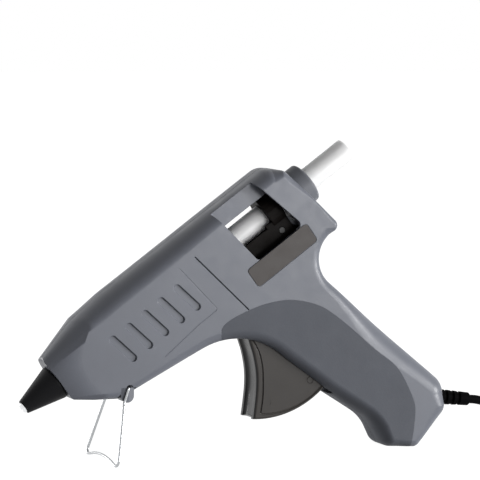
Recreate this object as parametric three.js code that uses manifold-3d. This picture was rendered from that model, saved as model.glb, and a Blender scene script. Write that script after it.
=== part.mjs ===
// A pistol-grip hot glue gun that stands on its grip and a folding wire stand, with its cord coiled behind.
// Millimetres, +Z up, nozzle towards -X. The barrel is drawn in the gun's own frame: X runs along the barrel
// from the nozzle tip to the rear, Y across the gun, Z square to the barrel. The gun group then tilts it.
import * as THREE from "three";
import { mergeVertices } from "three/addons/utils/BufferGeometryUtils.js";
import Module from "manifold-3d";

const wasm = await Module();
wasm.setup();

// Clearances that every fit shares, and the overrun of every cut
const FIT = { gap: 0.3, run: 0.6, seam: 0.3, overrun: 3, weld: 1e-4 };

// The body: tilt in degrees, then lengths along, above, below and across the barrel axis
const BODY = {
  tiltDegrees: 35.7, noseFace: 21.5, length: 160.7, rise: 21.4, drop: 142.2, width: 30, wall: 2.2,
};
const HALF = BODY.width / 2;
const INNER_HALF = HALF - BODY.wall;

// Side outline, counter-clockwise from the nose's lower corner. Shares of BODY.length from the nose face, of
// BODY.rise above the axis or BODY.drop below it, then of BODY.width: corner fillet, edge inset, edge across.
const outlineShares = {
  noseBottom: [0, -0.0689, 0.067, 0.05, 0.067],
  chin: [0.1133, -0.1646, 0.27, 0.13, 0.13],
  triggerHollow: [0.57, -0.2426, 1.27, 0.17, 0.17],
  gripSwell: [0.6627, -0.6188, 1, 0.2, 0.33],
  fingerHollow: [0.7306, -0.8193, 0.83, 0.2, 0.4],
  toe: [0.7187, 0, 0.2, 0.17, 0.33],
  heel: [0.799, -1, 0.13, 0.12, 0.12],
  heelRise: [0.9471, -0.9655, 0.23, 0.2, 0.2],
  cordCorner: [0.9956, -0.8896, 0.37, 0.3, 0.3],
  gripBack: [0.9306, -0.5942, 0, 0.4, 0.37],
  thumbWeb: [0.8407, -0.1941, 0.53, 0.17, 0.17],
  tail: [1, -0.1772, 0.117, 0.08, 0.1],
  rearFace: [0.977, -0.0478, 0, 0.05, 0.06],
  rearTop: [0.9521, 0.6869, 0.17, 0.13, 0.17],
  topRear: [0.9116, 0.9626, 0.27, 0.23, 0.37],
  topFront: [0.2645, 1, 2.67, 0.283, 0.47],
  brow: [0.1027, 0.9019, 1, 0.23, 0.43],
  noseTop: [0, 0.6449, 0.083, 0.067, 0.27],
};

// Facets: degrees per step of a fillet, layers of a rounded edge, and sides of round pieces
const FACET = { turnDegrees: 20, layerCount: 4, roundSides: 28, smallSides: 14, tinySides: 10 };

// Elliptical cone that narrows the nose: half width and half height at the nose face, its centre, and slopes
const NOSE = { halfWidth: 10.5, halfHeight: 16.7, centre: -2.7, reach: 50, wall: 1.2 };
const noseSlopeShares = { width: 0.378, height: 0.6, centre: -0.344 };

// Places along the barrel, as shares of BODY.length from the nose face
const alongShares = {
  chamberFront: 0.0417,
  heaterFront: 0.1276,
  stickFront: 0.252,
  heaterRear: 0.364,
  chamberRear: 0.4897,
  railFront: 0.725,
  leadBend: 0.7872,
  carriageFront: 0.8307,
  linkRear: 0.84287,
  carriageRear: 0.8805,
  collarFront: 0.9017,
  railRear: 0.9054,
  collarSeat: 0.9203,
  collarRim: 1.0261,
  stickRear: 1.1786,
};
const AT = Object.fromEntries(
  Object.entries(alongShares).map(([name, share]) => [name, BODY.noseFace + share * BODY.length]),
);

// The glue stick and what it runs through. A stick's radius and the room that a piece leaves free to the inner
// wall are shares of BODY.width.
const STICK = { radiusShare: 0.18667 };
const STICK_RADIUS = STICK.radiusShare * BODY.width;
const NOZZLE = { bore: 0.9, tipRadius: 2.7, tipLand: 1.6, coneRadius: 6, shankRadius: 4.7, shankLength: 9 };
const BOOT = {
  tipRadius: 3.6, rootRadius: 8.9, front: 1.3, root: 1.2, neckRadius: 8.3, flangeRadius: 9.3, flange: 1.8,
};
const CHAMBER = { roomShare: 0.12, pocketFloor: 1.6, mouth: 4 };
const HEATER = { width: 11, height: 3.4, tab: 3 };
const SLEEVE = { length: 24, wall: 1.5, overlap: 8, clampWidth: 3, clampWall: 0.8 };
const COLLAR = { roomShare: 0.0733, round: 1.6, flange: 2 };
const CHAMBER_RADIUS = INNER_HALF - CHAMBER.roomShare * BODY.width;
const COLLAR_RADIUS = INNER_HALF - COLLAR.roomShare * BODY.width;
const COLLAR_FLANGE_RADIUS = INNER_HALF - FIT.gap;

// The viewing window in both shells: corners as shares like the outline's, its lip and the lip's rib
const WINDOW = { lipAcross: 8.6, lipDrop: 10, ribWall: 1.8, corner: 3 };
const windowShares = {
  frontTop: [0.6789, 1.1],
  frontBottom: [0.7157, -0.09],
  rearBottom: [0.8987, -0.0885],
  rearTop: [0.8394, 1.1],
};

// Trigger: pivot as outline shares, reach to its lower arc, and the sector's shape as shares of the reach
const TRIGGER = {
  reach: 56, sideRoom: 3.3, edgeInset: 2.2, edgeAcross: 4.2, bossRadius: 7, pinRadius: 2, strokeDegrees: 25,
};
const triggerPivotShares = [0.6502, -0.2532];
const triggerFrontShares = [[-0.241, -0.036], [-0.282, -0.155], [-0.316, -0.259], [-0.384, -0.402],
  [-0.464, -0.518], [-0.571, -0.639]];
const triggerAngles = { tip: 42, rear: 14, swept: 40 };

// Linkage between trigger and feed carriage
const LINK = { arm: 22, armWidth: 7, armWall: 2.8, halfWidth: 3.2, height: 5.4, pinRadius: 1.5 };
const CARRIAGE = { sideRoom: 2.6, cheekInner: 6.2, cheekWall: 2.5, rise: 13.7, hook: 22 };
const LEVER = { pivotDrop: 9.4, halfWidth: 5.6, jawReach: 5.6, jawLength: 4, eye: 2.9 };
const RAIL = { top: -14, thickness: 1.5, inner: 6.9 };
const SPRING = { coilRadius: 2.2, wireRadius: 0.45, pitch: 0.92, stepCount: 8, sideCount: 5 };

// Screws: places as outline shares, and sizes
const SCREW = {
  radius: 1.4, head: 2.8, recessShare: 0.7, headHeight: 1.9, length: 17, bossRadius: 3.4, well: 4.5,
  slot: 0.6,
};
const screwShares = [
  [0.252, -0.1428],
  [0.2396, 0.6916],
  [0.5632, 0.6916],
  [0.9515, -0.1406],
  [0.8307, -0.3868],
  [0.781, -0.872],
];

// Wire stand: pivot as outline shares, leg splay and lean, bends, and its lug and pocket
const STAND = { wire: 0.75, setIn: 1, footAcross: 25, lean: 9.5, kneeLean: 2.5, kneeDrop: 7.7, arch: 2.6 };
const STAND_BEND = { pin: 1.5, knee: 6, foot: 2.5, pinLength: 5.5, archCount: 10 };
const STAND_ACROSS = HALF - STAND.setIn;
const standShares = { pivot: [0.1581, -0.1498], lug: [0.1494, -0.1582] };
const LUG = { radius: 6, sunk: 2.1, inner: 5 };
const LUG_FACE = HALF - LUG.sunk;
const pocketShares = [
  [0.1615, -0.1344],
  [0.1155, -0.173],
  [0.0869, -0.2059],
  [0.2045, -0.2059],
  [0.201, -0.173],
];

// Side trim: slanted vents, the thin groove and the plate that would carry the ratings
const VENT = {
  slotCount: 5, pitchShare: 0.0635, radius: 2, depth: 0.8, length: 13, leanDegrees: 12,
  firstShare: 0.2016, top: 2.8,
};
const GROOVE = { width: 0.6, depth: 0.5 };
const grooveShares = [[0.5569, 0.444], [0.593, -0.159]];
const PLATE = { length: 38.5, height: 10.5, thickness: 0.4, sink: 0.25 };
const plateShares = [0.7878, -0.1245];

// Cord, its relief and clamp: the relief's place is a share of the edge from cordCorner to heelRise
const CORD = { radius: 2.25, sideCount: 8, tail: 28 };
const RELIEF = {
  radius: 4, endRadius: 3.3, length: 18.4, neck: 3.4, flangeRadius: 5, flange: 1.8, rib: 0.45,
  placeShare: 0.6, droopDegrees: 7,
};
const reliefGrooveShares = [0.26, 0.46, 0.66];
const CLAMP = { distance: 15, width: 6, length: 16, thickness: 2, post: 2.4, spread: 5.4, screw: 1.2 };
const LEAD = {
  radius: 0.8, sideRoom: 1.5, spread: 3.2, exitAcross: 1.3, slope: 22.6, lane: -21,
  turnShare: 0.7032, sideCount: 6,
};
const LEAD_ACROSS = INNER_HALF - LEAD.sideRoom;

// Put-away length of the cord: a round coil on the floor, whose end climbs and turns in to the plug on top
const COIL = {
  outer: 34.6, pitch: 5, layer: 5, turnCount: 6.25, stepCount: 24, sideCount: 6, straight: 4.6, turnIn: 15,
};
const PLUG = {
  length: 35, width: 35, thickness: 13.7, round: 2.3, nose: 9, noseRadius: 5, neckRadius: 3.4, pinRadius: 2, pinLength: 19,
  pinSpread: 19,
};
const plugShares = [[0, 0.28], [0.16, 0.34], [0.42, 0.5], [1, 0.5]];

// Helpers for places in the gun's frame
const radians = (degrees) => (degrees * Math.PI) / 180;
const TILT = radians(BODY.tiltDegrees);
const place = ([along, up]) => [
  BODY.noseFace + along * BODY.length,
  up * (up > 0 ? BODY.rise : BODY.drop),
];
const level = ([s, h]) => [s * Math.cos(TILT) - h * Math.sin(TILT), s * Math.sin(TILT) + h * Math.cos(TILT)];
const FLOOR = level(place(outlineShares.heel))[1];

// Solids and booleans
function solid(geometry) {
  const bare = geometry.clone();
  bare.deleteAttribute("normal");
  bare.deleteAttribute("uv");
  const merged = mergeVertices(bare, FIT.weld);
  const vertProperties = new Float32Array(merged.attributes.position.array);
  const build = (triVerts) => new wasm.Manifold(new wasm.Mesh({ numProp: 3, vertProperties, triVerts }));
  const made = build(new Uint32Array(merged.index.array));
  if (made.volume() > 0) return made;
  return build(new Uint32Array(merged.index.array).reverse());
}
function geometryOf(made) {
  const mesh = made.getMesh();
  const geometry = new THREE.BufferGeometry();
  geometry.setAttribute("position", new THREE.BufferAttribute(new Float32Array(mesh.vertProperties), 3));
  geometry.setIndex(new THREE.BufferAttribute(new Uint32Array(mesh.triVerts), 1));
  return geometry;
}
const join = (...solids) => solids.reduce((whole, piece) => whole.add(piece));
const cut = (whole, ...tools) => tools.reduce((left, tool) => left.subtract(tool), whole);

// A prism across the gun: side points [s, h] from y = low to y = high
function prism(points, low, high) {
  const shape = new THREE.Shape(points.map(([s, h]) => new THREE.Vector2(s, h)));
  const geometry = new THREE.ExtrudeGeometry(shape, { depth: high - low, bevelEnabled: false });
  return solid(geometry.rotateX(Math.PI / 2).translate(0, high, 0));
}
function block([s0, s1], [y0, y1], [h0, h1]) {
  const geometry = new THREE.BoxGeometry(s1 - s0, y1 - y0, h1 - h0);
  return solid(geometry.translate((s0 + s1) / 2, (y0 + y1) / 2, (h0 + h1) / 2));
}
// A cylinder across the gun
function across([s, h], radius, low, high, sides = FACET.smallSides) {
  const geometry = new THREE.CylinderGeometry(radius, radius, high - low, sides);
  return solid(geometry.translate(s, (low + high) / 2, h));
}
// A solid of revolution about the barrel axis from [s, radius] points
function turned(profile, sides = FACET.roundSides) {
  const points = profile.map(([s, radius]) => new THREE.Vector2(radius, s));
  return solid(new THREE.LatheGeometry(points, sides).rotateZ(-Math.PI / 2));
}
const ring = (s0, s1, inner, outer, sides) =>
  turned([[s0, inner], [s0, outer], [s1, outer], [s1, inner], [s0, inner]], sides);
const rod = (s0, s1, radius, sides) => turned([[s0, 0], [s0, radius], [s1, radius], [s1, 0]], sides);
const capsule = ([s0, h0], [s1, h1], r0, r1 = r0, steps = FACET.layerCount) => {
  const lean = Math.atan2(h1 - h0, s1 - s0);
  const end = (s, h, radius, from) =>
    Array.from({ length: steps + 1 }, (_, i) => {
      const turn = from + (i / steps) * Math.PI;
      return [s + radius * Math.cos(turn), h + radius * Math.sin(turn)];
    });
  return [...end(s1, h1, r1, lean - Math.PI / 2), ...end(s0, h0, r0, lean + Math.PI / 2)];
};

// A curve through given points, so that an extrusion has one ring at each point
class Route extends THREE.Curve {
  constructor(points) {
    super();
    this.points = points;
  }
  getPoint(t, target = new THREE.Vector3()) {
    const along = Math.min(Math.max(t, 0), 1) * (this.points.length - 1);
    const i = Math.min(Math.floor(along), this.points.length - 2);
    return target.lerpVectors(this.points[i], this.points[i + 1], along - i);
  }
  getPointAt(u, target) {
    return this.getPoint(u, target);
  }
  getTangentAt(u, target) {
    return this.getTangent(u, target);
  }
}
function tube(points, radius, sides) {
  const section = new THREE.Shape(
    Array.from({ length: sides }, (_, i) => {
      const turn = (i / sides) * 2 * Math.PI;
      return new THREE.Vector2(radius * Math.cos(turn), radius * Math.sin(turn));
    }),
  );
  const options = { steps: points.length - 1, extrudePath: new Route(points), bevelEnabled: false };
  return solid(new THREE.ExtrudeGeometry(section, options));
}
// Points with an arc of the given radius at each inner corner
function softened(points, radius, steps) {
  const out = [points[0]];
  for (let i = 1; i < points.length - 1; i++) {
    const before = points[i - 1].clone().sub(points[i]).normalize();
    const after = points[i + 1].clone().sub(points[i]).normalize();
    const half = before.angleTo(after) / 2;
    const run = radius / Math.tan(half);
    const middle = before.clone().add(after).normalize();
    const centre = points[i].clone().addScaledVector(middle, radius / Math.sin(half));
    const from = points[i].clone().addScaledVector(before, run).sub(centre);
    const to = points[i].clone().addScaledVector(after, run).sub(centre);
    const sweep = from.angleTo(to);
    for (let k = 0; k <= steps; k++) {
      const share = k / steps;
      const a = Math.sin((1 - share) * sweep) / Math.sin(sweep);
      const b = Math.sin(share * sweep) / Math.sin(sweep);
      out.push(centre.clone().addScaledVector(from, a).addScaledVector(to, b));
    }
  }
  return [...out, points[points.length - 1]];
}

// The body's outline: corners moved inwards by a wall, then filleted
function bodyCorners(inward) {
  const corners = Object.entries(outlineShares).map(([name, [along, up, ...edge]]) => {
    const [s, h] = place([along, up]);
    const [fillet, inset, spread] = edge.map((share) => share * BODY.width);
    const height = name === "toe" ? (FLOOR - s * Math.sin(TILT)) / Math.cos(TILT) : h;
    return { at: new THREE.Vector2(s, height), fillet, inset, spread };
  });
  const count = corners.length;
  return corners.map((corner, i) => {
    const arrive = corner.at.clone().sub(corners[(i + count - 1) % count].at).normalize();
    const leave = corners[(i + 1) % count].at.clone().sub(corner.at).normalize();
    const turn = Math.atan2(arrive.cross(leave), arrive.dot(leave));
    const outwards = new THREE.Vector2(arrive.y + leave.y, -arrive.x - leave.x).normalize();
    const least = BODY.wall / 4;
    return {
      at: corner.at.clone().addScaledVector(outwards, -inward / Math.cos(turn / 2)),
      arrive,
      turn,
      fillet: corner.fillet && Math.max(corner.fillet - Math.sign(turn) * inward, least),
      inset: Math.max(corner.inset - inward, least),
      spread: Math.max(corner.spread - inward, least),
    };
  });
}
function bodyOutline(inward) {
  return bodyCorners(inward).flatMap(({ at, arrive, turn, fillet, inset, spread }) => {
    const steps = fillet ? Math.max(1, Math.ceil(Math.abs(turn) / radians(FACET.turnDegrees))) : 0;
    const normal = (angle) =>
      new THREE.Vector2(arrive.y, -arrive.x).rotateAround(new THREE.Vector2(), angle);
    if (!steps) return [{ at, out: normal(turn / 2), inset, spread }];
    const side = Math.sign(turn);
    const start = at.clone().addScaledVector(arrive, -fillet * Math.tan(Math.abs(turn) / 2));
    const centre = start.clone().addScaledVector(normal(0), -side * fillet);
    return Array.from({ length: steps + 1 }, (_, i) => {
      const out = normal((i / steps) * turn);
      return { at: centre.clone().addScaledVector(out, side * fillet), out, inset, spread };
    });
  });
}
// Half of a slab with rounded edges, from y = low out to y = half
function halfSlab(outline, half, low) {
  const count = outline.length;
  const positions = [];
  const rings = [(p) => [p.at.x, low, p.at.y]];
  for (let k = 0; k <= FACET.layerCount; k++) {
    const turn = (k / FACET.layerCount) * (Math.PI / 2);
    rings.push(({ at, out, inset, spread }) => {
      const inwards = -inset * (1 - Math.cos(turn));
      const reach = half - Math.min(spread, half - FIT.seam) * (1 - Math.sin(turn));
      return [at.x + out.x * inwards, reach, at.y + out.y * inwards];
    });
  }
  for (const corner of rings) for (const point of outline) positions.push(...corner(point));
  const index = [];
  for (let k = 0; k < rings.length - 1; k++)
    for (let i = 0; i < count; i++) {
      const next = (i + 1) % count;
      const a = k * count + i;
      const b = k * count + next;
      index.push(a, b + count, b, a, a + count, b + count);
    }
  const last = (rings.length - 1) * count;
  const flat = (start) =>
    outline.map((_, i) => new THREE.Vector2(positions[3 * (start + i)], positions[3 * (start + i) + 2]));
  for (const [a, b, c] of THREE.ShapeUtils.triangulateShape(flat(0), [])) index.push(a, b, c);
  for (const [a, b, c] of THREE.ShapeUtils.triangulateShape(flat(last), []))
    index.push(last + a, last + c, last + b);
  const geometry = new THREE.BufferGeometry();
  geometry.setAttribute("position", new THREE.Float32BufferAttribute(positions, 3));
  geometry.setIndex(index);
  return solid(geometry);
}
// What the nose's elliptical cone leaves outside, at a given wall inside the skin
function outsideNose(inward) {
  const rings = [-FIT.overrun, NOSE.reach].map((run) => {
    const width = NOSE.halfWidth + noseSlopeShares.width * run - inward;
    const height = NOSE.halfHeight + noseSlopeShares.height * run - inward;
    const centre = NOSE.centre + noseSlopeShares.centre * run;
    return { run, width, height, centre };
  });
  const sides = 2 * FACET.roundSides;
  const positions = rings.flatMap(({ run, width, height, centre }) =>
    Array.from({ length: sides }, (_, i) => {
      const turn = (i / sides) * 2 * Math.PI;
      return [BODY.noseFace + run, width * Math.cos(turn), centre + height * Math.sin(turn)];
    }).flat(),
  );
  const index = [];
  for (let i = 0; i < sides; i++) {
    const next = (i + 1) % sides;
    index.push(i, next, next + sides, i, next + sides, i + sides);
  }
  for (let i = 1; i < sides - 1; i++) index.push(0, i + 1, i, sides, sides + i, sides + i + 1);
  const geometry = new THREE.BufferGeometry();
  geometry.setAttribute("position", new THREE.Float32BufferAttribute(positions, 3));
  geometry.setIndex(index);
  const around = block(
    [BODY.noseFace - FIT.overrun / 2, BODY.noseFace + NOSE.reach - FIT.overrun / 2],
    [-BODY.width, BODY.width],
    [-BODY.drop / 3, 2 * BODY.rise],
  );
  return cut(around, solid(geometry));
}

// Places that several pieces share
const PIVOT = place(triggerPivotShares);
const ARM_LEAN = radians(TRIGGER.strokeDegrees / 2);
const LINK_FRONT = [PIVOT[0] + LINK.arm * Math.sin(ARM_LEAN), PIVOT[1] + LINK.arm * Math.cos(ARM_LEAN)];
const LINK_REAR = [AT.linkRear, LINK_FRONT[1]];
const LEVER_PIVOT = [AT.linkRear, -LEVER.pivotDrop];
const TRIGGER_HALF = INNER_HALF - TRIGGER.sideRoom;
const pinHole = TRIGGER.pinRadius + FIT.gap;
const linkHole = LINK.pinRadius + FIT.gap;
const openHole = linkHole + FIT.run;
const ARM_OUTER = LINK.halfWidth + FIT.gap + LINK.armWall;
const stickBore = STICK_RADIUS + FIT.run;
const RELIEF_EDGE = bodyCorners(0).filter((_, i) =>
  ["heelRise", "cordCorner"].includes(Object.keys(outlineShares)[i]),
);
const RELIEF_AT = RELIEF_EDGE[1].at.clone().lerp(RELIEF_EDGE[0].at, RELIEF.placeShare);
const RELIEF_DIRECTION = new THREE.Vector2(
  RELIEF_EDGE[1].at.y - RELIEF_EDGE[0].at.y,
  RELIEF_EDGE[0].at.x - RELIEF_EDGE[1].at.x,
).normalize().rotateAround(new THREE.Vector2(), -radians(RELIEF.droopDegrees));
// A solid drawn about the barrel axis, moved to the relief's axis, with s counted outwards from the skin
const atRelief = (made) => {
  const lean = -Math.atan2(RELIEF_DIRECTION.y, RELIEF_DIRECTION.x);
  const geometry = geometryOf(made).rotateY(lean).translate(RELIEF_AT.x, 0, RELIEF_AT.y);
  return solid(geometry);
};

// Cuts and ribs of one shell, drawn on the +Y side
function windowCut() {
  const { frontTop, frontBottom, rearBottom, rearTop } = windowShares;
  const vectors = [frontTop, frontBottom, rearBottom, rearTop].map((share) => {
    const [s, h] = place(share);
    return new THREE.Vector3(s, h, 0);
  });
  const path = softened(vectors, WINDOW.corner, FACET.layerCount);
  return prism(path.map((p) => [p.x, p.y]), WINDOW.lipAcross, HALF + FIT.overrun);
}
function windowLip() {
  const [s0] = place(windowShares.frontTop);
  const [s1] = place(windowShares.rearBottom);
  const low = BODY.rise - WINDOW.lipDrop;
  const inside = WINDOW.lipAcross - WINDOW.ribWall;
  return block([s0 - BODY.wall, s1 - BODY.wall], [inside, WINDOW.lipAcross], [low, BODY.rise]);
}
const triggerFront = (clear) =>
  triggerFrontShares.map(([a, b]) => [PIVOT[0] + a * TRIGGER.reach - clear, PIVOT[1] + b * TRIGGER.reach]);
function triggerArc(reach, to) {
  const steps = 2 * FACET.layerCount;
  const from = radians(triggerAngles.tip);
  return Array.from({ length: steps + 1 }, (_, i) => {
    const turn = from + (i / steps) * (to - from);
    return [PIVOT[0] - reach * Math.sin(turn), PIVOT[1] - reach * Math.cos(turn)];
  });
}
function triggerSlot() {
  const arc = triggerArc(TRIGGER.reach + FIT.run, -radians(triggerAngles.swept));
  return prism([PIVOT, ...triggerFront(FIT.run), ...arc], -FIT.overrun, TRIGGER_HALF + FIT.run);
}
function vents() {
  const lean = radians(VENT.leanDegrees);
  return Array.from({ length: VENT.slotCount }, (_, i) => {
    const s = BODY.noseFace + (VENT.firstShare + i * VENT.pitchShare) * BODY.length;
    const low = [s + VENT.length * Math.sin(lean), VENT.top - VENT.length * Math.cos(lean)];
    return prism(capsule([s, VENT.top], low, VENT.radius), HALF - VENT.depth, HALF + FIT.overrun);
  });
}
function sideGroove() {
  const [from, to] = grooveShares.map(place);
  return prism(capsule(from, to, GROOVE.width / 2), HALF - GROOVE.depth, HALF + FIT.overrun);
}
function plateOutline(clearance) {
  const [s, h] = place(plateShares);
  const [a, b] = [PLATE.length / 2 + clearance, PLATE.height / 2 + clearance];
  const shape = [[-a, -b], [a, -b], [a, b], [-a, b]];
  return shape.map(([x, y]) => [s + x, h + y]);
}
function standPocket() {
  return prism(pocketShares.map(place), LUG_FACE, HALF + FIT.overrun);
}
function chamberRib(s, low) {
  const plate = block([s, s + BODY.wall], [FIT.seam / 2, HALF], [low, BODY.rise]);
  return cut(plate, rod(s - FIT.overrun, s + BODY.wall + FIT.overrun, CHAMBER_RADIUS + FIT.gap));
}
function collarSeat() {
  const end = AT.collarSeat + COLLAR.flange;
  const low = -COLLAR_FLANGE_RADIUS - BODY.wall;
  const plate = block([AT.collarSeat - BODY.wall, end + BODY.wall], [FIT.seam / 2, HALF], [low, BODY.rise]);
  return cut(plate, rod(AT.collarSeat - FIT.gap, end + FIT.gap, COLLAR_FLANGE_RADIUS + FIT.gap));
}
function screwBosses(far) {
  const top = far ? HALF : INNER_HALF + BODY.wall / 2;
  return screwShares.map(place).map((at) => across(at, SCREW.bossRadius, FIT.seam / 2, top));
}
const SCREW_TOP = HALF - SCREW.well + FIT.gap + SCREW.headHeight;
const SCREW_END = SCREW_TOP - SCREW.length;
function screwHoles(far) {
  return screwShares.map(place).flatMap((at) => {
    if (!far) return [across(at, SCREW.radius + FIT.gap, -FIT.overrun, FIT.run - SCREW_END, FACET.tinySides)];
    const head = across(at, SCREW.head + FIT.gap, HALF - SCREW.well, HALF + FIT.overrun);
    return [head, across(at, SCREW.radius + FIT.gap, -FIT.overrun, HALF + FIT.overrun, FACET.tinySides)];
  });
}
const clampAxis = () => {
  const back = RELIEF_AT.clone().addScaledVector(RELIEF_DIRECTION, -CLAMP.distance);
  const square = new THREE.Vector2(-RELIEF_DIRECTION.y, RELIEF_DIRECTION.x);
  return [-1, 1].map((side) => back.clone().addScaledVector(square, side * CLAMP.spread));
};
function clampPosts() {
  const top = -CORD.radius + FIT.gap;
  const root = INNER_HALF + BODY.wall / 2;
  return clampAxis().map((at) => across([at.x, at.y], CLAMP.post, top, root, FACET.tinySides));
}
function cordSaddle() {
  const low = CORD.radius + FIT.gap;
  const [s0, s1] = [-CLAMP.distance - CLAMP.width / 2, -CLAMP.distance + CLAMP.width / 2];
  return atRelief(block([s0, s1], [low, INNER_HALF + BODY.wall / 2], [-CORD.radius, CORD.radius]));
}

function shell(far) {
  const skin = cut(halfSlab(bodyOutline(0), HALF, FIT.seam / 2), outsideNose(0));
  const hollow = cut(halfSlab(bodyOutline(BODY.wall), INNER_HALF, -FIT.overrun), outsideNose(NOSE.wall));
  const bossRadius = TRIGGER.bossRadius - BODY.wall;
  const pivotBoss = across(PIVOT, bossRadius, TRIGGER_HALF + FIT.gap, INNER_HALF + BODY.wall / 2);
  const rail = block([AT.railFront, AT.railRear], [RAIL.inner, HALF], [RAIL.top - RAIL.thickness, RAIL.top]);
  const ribs = join(
    windowLip(),
    chamberRib(AT.chamberFront + 2 * BODY.wall, -CHAMBER_RADIUS - 2 * BODY.wall),
    chamberRib(AT.heaterRear + 2 * HEATER.tab, -CHAMBER_RADIUS / 2),
    collarSeat(),
    pivotBoss,
    rail,
    ...screwBosses(far),
  );
  const lug = across(place(standShares.lug), LUG.radius, LUG.inner, LUG_FACE, FACET.roundSides / 2);
  let made = join(cut(skin, hollow), ribs.intersect(skin));
  made = cut(made, windowCut(), triggerSlot(), ...vents(), sideGroove(), standPocket());
  made = join(made, lug);
  if (far) made = join(made, ...clampPosts(), cordSaddle());
  const bootSeat = BODY.noseFace + BODY.wall;
  const reliefSeat = -BODY.wall - FIT.gap;
  const reliefFlange = RELIEF.flange + FIT.run;
  const cuts = [
    rod(0, BODY.noseFace + 2 * BODY.wall, BOOT.neckRadius + FIT.gap),
    rod(bootSeat, bootSeat + BOOT.flange + 2 * FIT.gap, BOOT.flangeRadius + FIT.gap),
    rod(AT.collarFront - FIT.overrun, AT.collarRim, COLLAR_RADIUS + FIT.gap),
    across(PIVOT, pinHole, 0, INNER_HALF),
    across(place(standShares.pivot), STAND.wire + FIT.gap, LUG.inner + FIT.gap, HALF, FACET.tinySides),
    atRelief(rod(-3 * BODY.wall, FIT.overrun, RELIEF.neck + FIT.gap, FACET.smallSides)),
    atRelief(rod(reliefSeat - reliefFlange, reliefSeat, RELIEF.flangeRadius + FIT.gap)),
    ...screwHoles(far),
  ];
  if (far) {
    const bite = -CORD.radius + FIT.gap + SCREW.length / 2;
    for (const at of clampAxis())
      cuts.push(across([at.x, at.y], CLAMP.screw + FIT.gap, -HALF, bite, FACET.tinySides));
  } else {
    cuts.push(prism(plateOutline(FIT.gap), HALF - PLATE.sink, HALF + FIT.overrun));
  }
  made = cut(made, ...cuts);
  if (far) return made;
  return made.mirror([0, 1, 0]);
}

// Nozzle, boot, melt chamber and heater
function nozzleTip() {
  const { bore, tipRadius, tipLand, coneRadius, shankRadius, shankLength } = NOZZLE;
  const seat = AT.chamberFront - FIT.gap;
  const end = seat + shankLength;
  return turned([
    [0, bore],
    [0, tipRadius],
    [tipLand, tipRadius],
    [seat - coneRadius, coneRadius],
    [seat, coneRadius],
    [seat, shankRadius],
    [end, shankRadius],
    [end, bore],
    [0, bore],
  ]);
}
function nozzleBoot() {
  const { tipRadius, rootRadius, front, root, neckRadius, flangeRadius, flange } = BOOT;
  const face = BODY.noseFace;
  const inside = face + BODY.wall + FIT.gap;
  const coneEnd = AT.chamberFront - FIT.gap - NOZZLE.coneRadius;
  const coneBore = NOZZLE.coneRadius + 2 * FIT.gap;
  return turned([
    [front + NOZZLE.tipLand, NOZZLE.tipRadius + FIT.gap],
    [front, tipRadius],
    [face - root, rootRadius],
    [face - FIT.gap, rootRadius],
    [face - FIT.gap, neckRadius],
    [inside, neckRadius],
    [inside, flangeRadius],
    [inside + flange, flangeRadius],
    [inside + flange, coneBore],
    [coneEnd, coneBore],
    [front + NOZZLE.tipLand, NOZZLE.tipRadius + FIT.gap],
  ]);
}
function meltChamber() {
  const front = AT.chamberFront;
  const end = AT.chamberRear;
  const [s0, s1] = [AT.heaterFront - BODY.wall, AT.heaterRear + BODY.wall];
  const top = -CHAMBER_RADIUS;
  const pocketHalf = HEATER.width / 2 + FIT.gap;
  const pocketLow = top - HEATER.height - 2 * FIT.gap;
  const half = pocketHalf + CHAMBER.pocketFloor;
  const housing = block([s0, s1], [-half, half], [pocketLow - CHAMBER.pocketFloor, 0]);
  const pocket = block([s0 - FIT.overrun, s1 + FIT.overrun], [-pocketHalf, pocketHalf], [pocketLow, top]);
  const body = join(rod(front, end, CHAMBER_RADIUS), housing);
  const boreFront = front + NOZZLE.shankLength + BODY.wall;
  const thread = rod(front - FIT.overrun, boreFront + FIT.overrun, NOZZLE.shankRadius + FIT.gap);
  const bore = rod(boreFront, end + FIT.overrun, stickBore);
  const mouth = turned([
    [end - CHAMBER.mouth, 0],
    [end - CHAMBER.mouth, stickBore],
    [end + FIT.overrun, stickBore + FIT.overrun],
    [end + FIT.overrun, 0],
  ]);
  return cut(body, pocket, thread, bore, mouth);
}
function ptcHeater() {
  const top = -CHAMBER_RADIUS - FIT.gap;
  const middle = top - HEATER.height / 2;
  const half = HEATER.width / 2;
  const end = AT.heaterRear;
  const body = block([AT.heaterFront, end], [-half, half], [top - HEATER.height, top]);
  const tabHeight = [middle - LEAD.radius / 2, middle + LEAD.radius / 2];
  const tabs = [-1, 1].map((side) => {
    const y = (side * half) / 2;
    return block([end - HEATER.tab, end + HEATER.tab], [y - LEAD.radius, y + LEAD.radius], tabHeight);
  });
  return join(body, ...tabs);
}
const SLEEVE_START = AT.chamberRear - SLEEVE.overlap;
const sleeveInner = CHAMBER_RADIUS + FIT.gap;
function inletSleeve() {
  const outer = sleeveInner + SLEEVE.wall;
  const end = SLEEVE_START + SLEEVE.length;
  const step = AT.chamberRear + FIT.gap;
  return turned([
    [SLEEVE_START, sleeveInner],
    [SLEEVE_START, outer],
    [step + SLEEVE.wall, outer],
    [end, stickBore + SLEEVE.wall],
    [end, stickBore],
    [step, stickBore],
    [step, sleeveInner],
    [SLEEVE_START, sleeveInner],
  ]);
}
function sleeveClamp() {
  const inner = sleeveInner + SLEEVE.wall + FIT.gap;
  const start = SLEEVE_START + FIT.run;
  const span = [start, start + SLEEVE.clampWidth];
  const band = ring(...span, inner, inner + SLEEVE.clampWall);
  const earHeight = [inner + SLEEVE.clampWall / 2, inner + SLEEVE.clampWidth];
  return join(band, block(span, [-SLEEVE.clampWidth, SLEEVE.clampWidth], earHeight));
}
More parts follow.
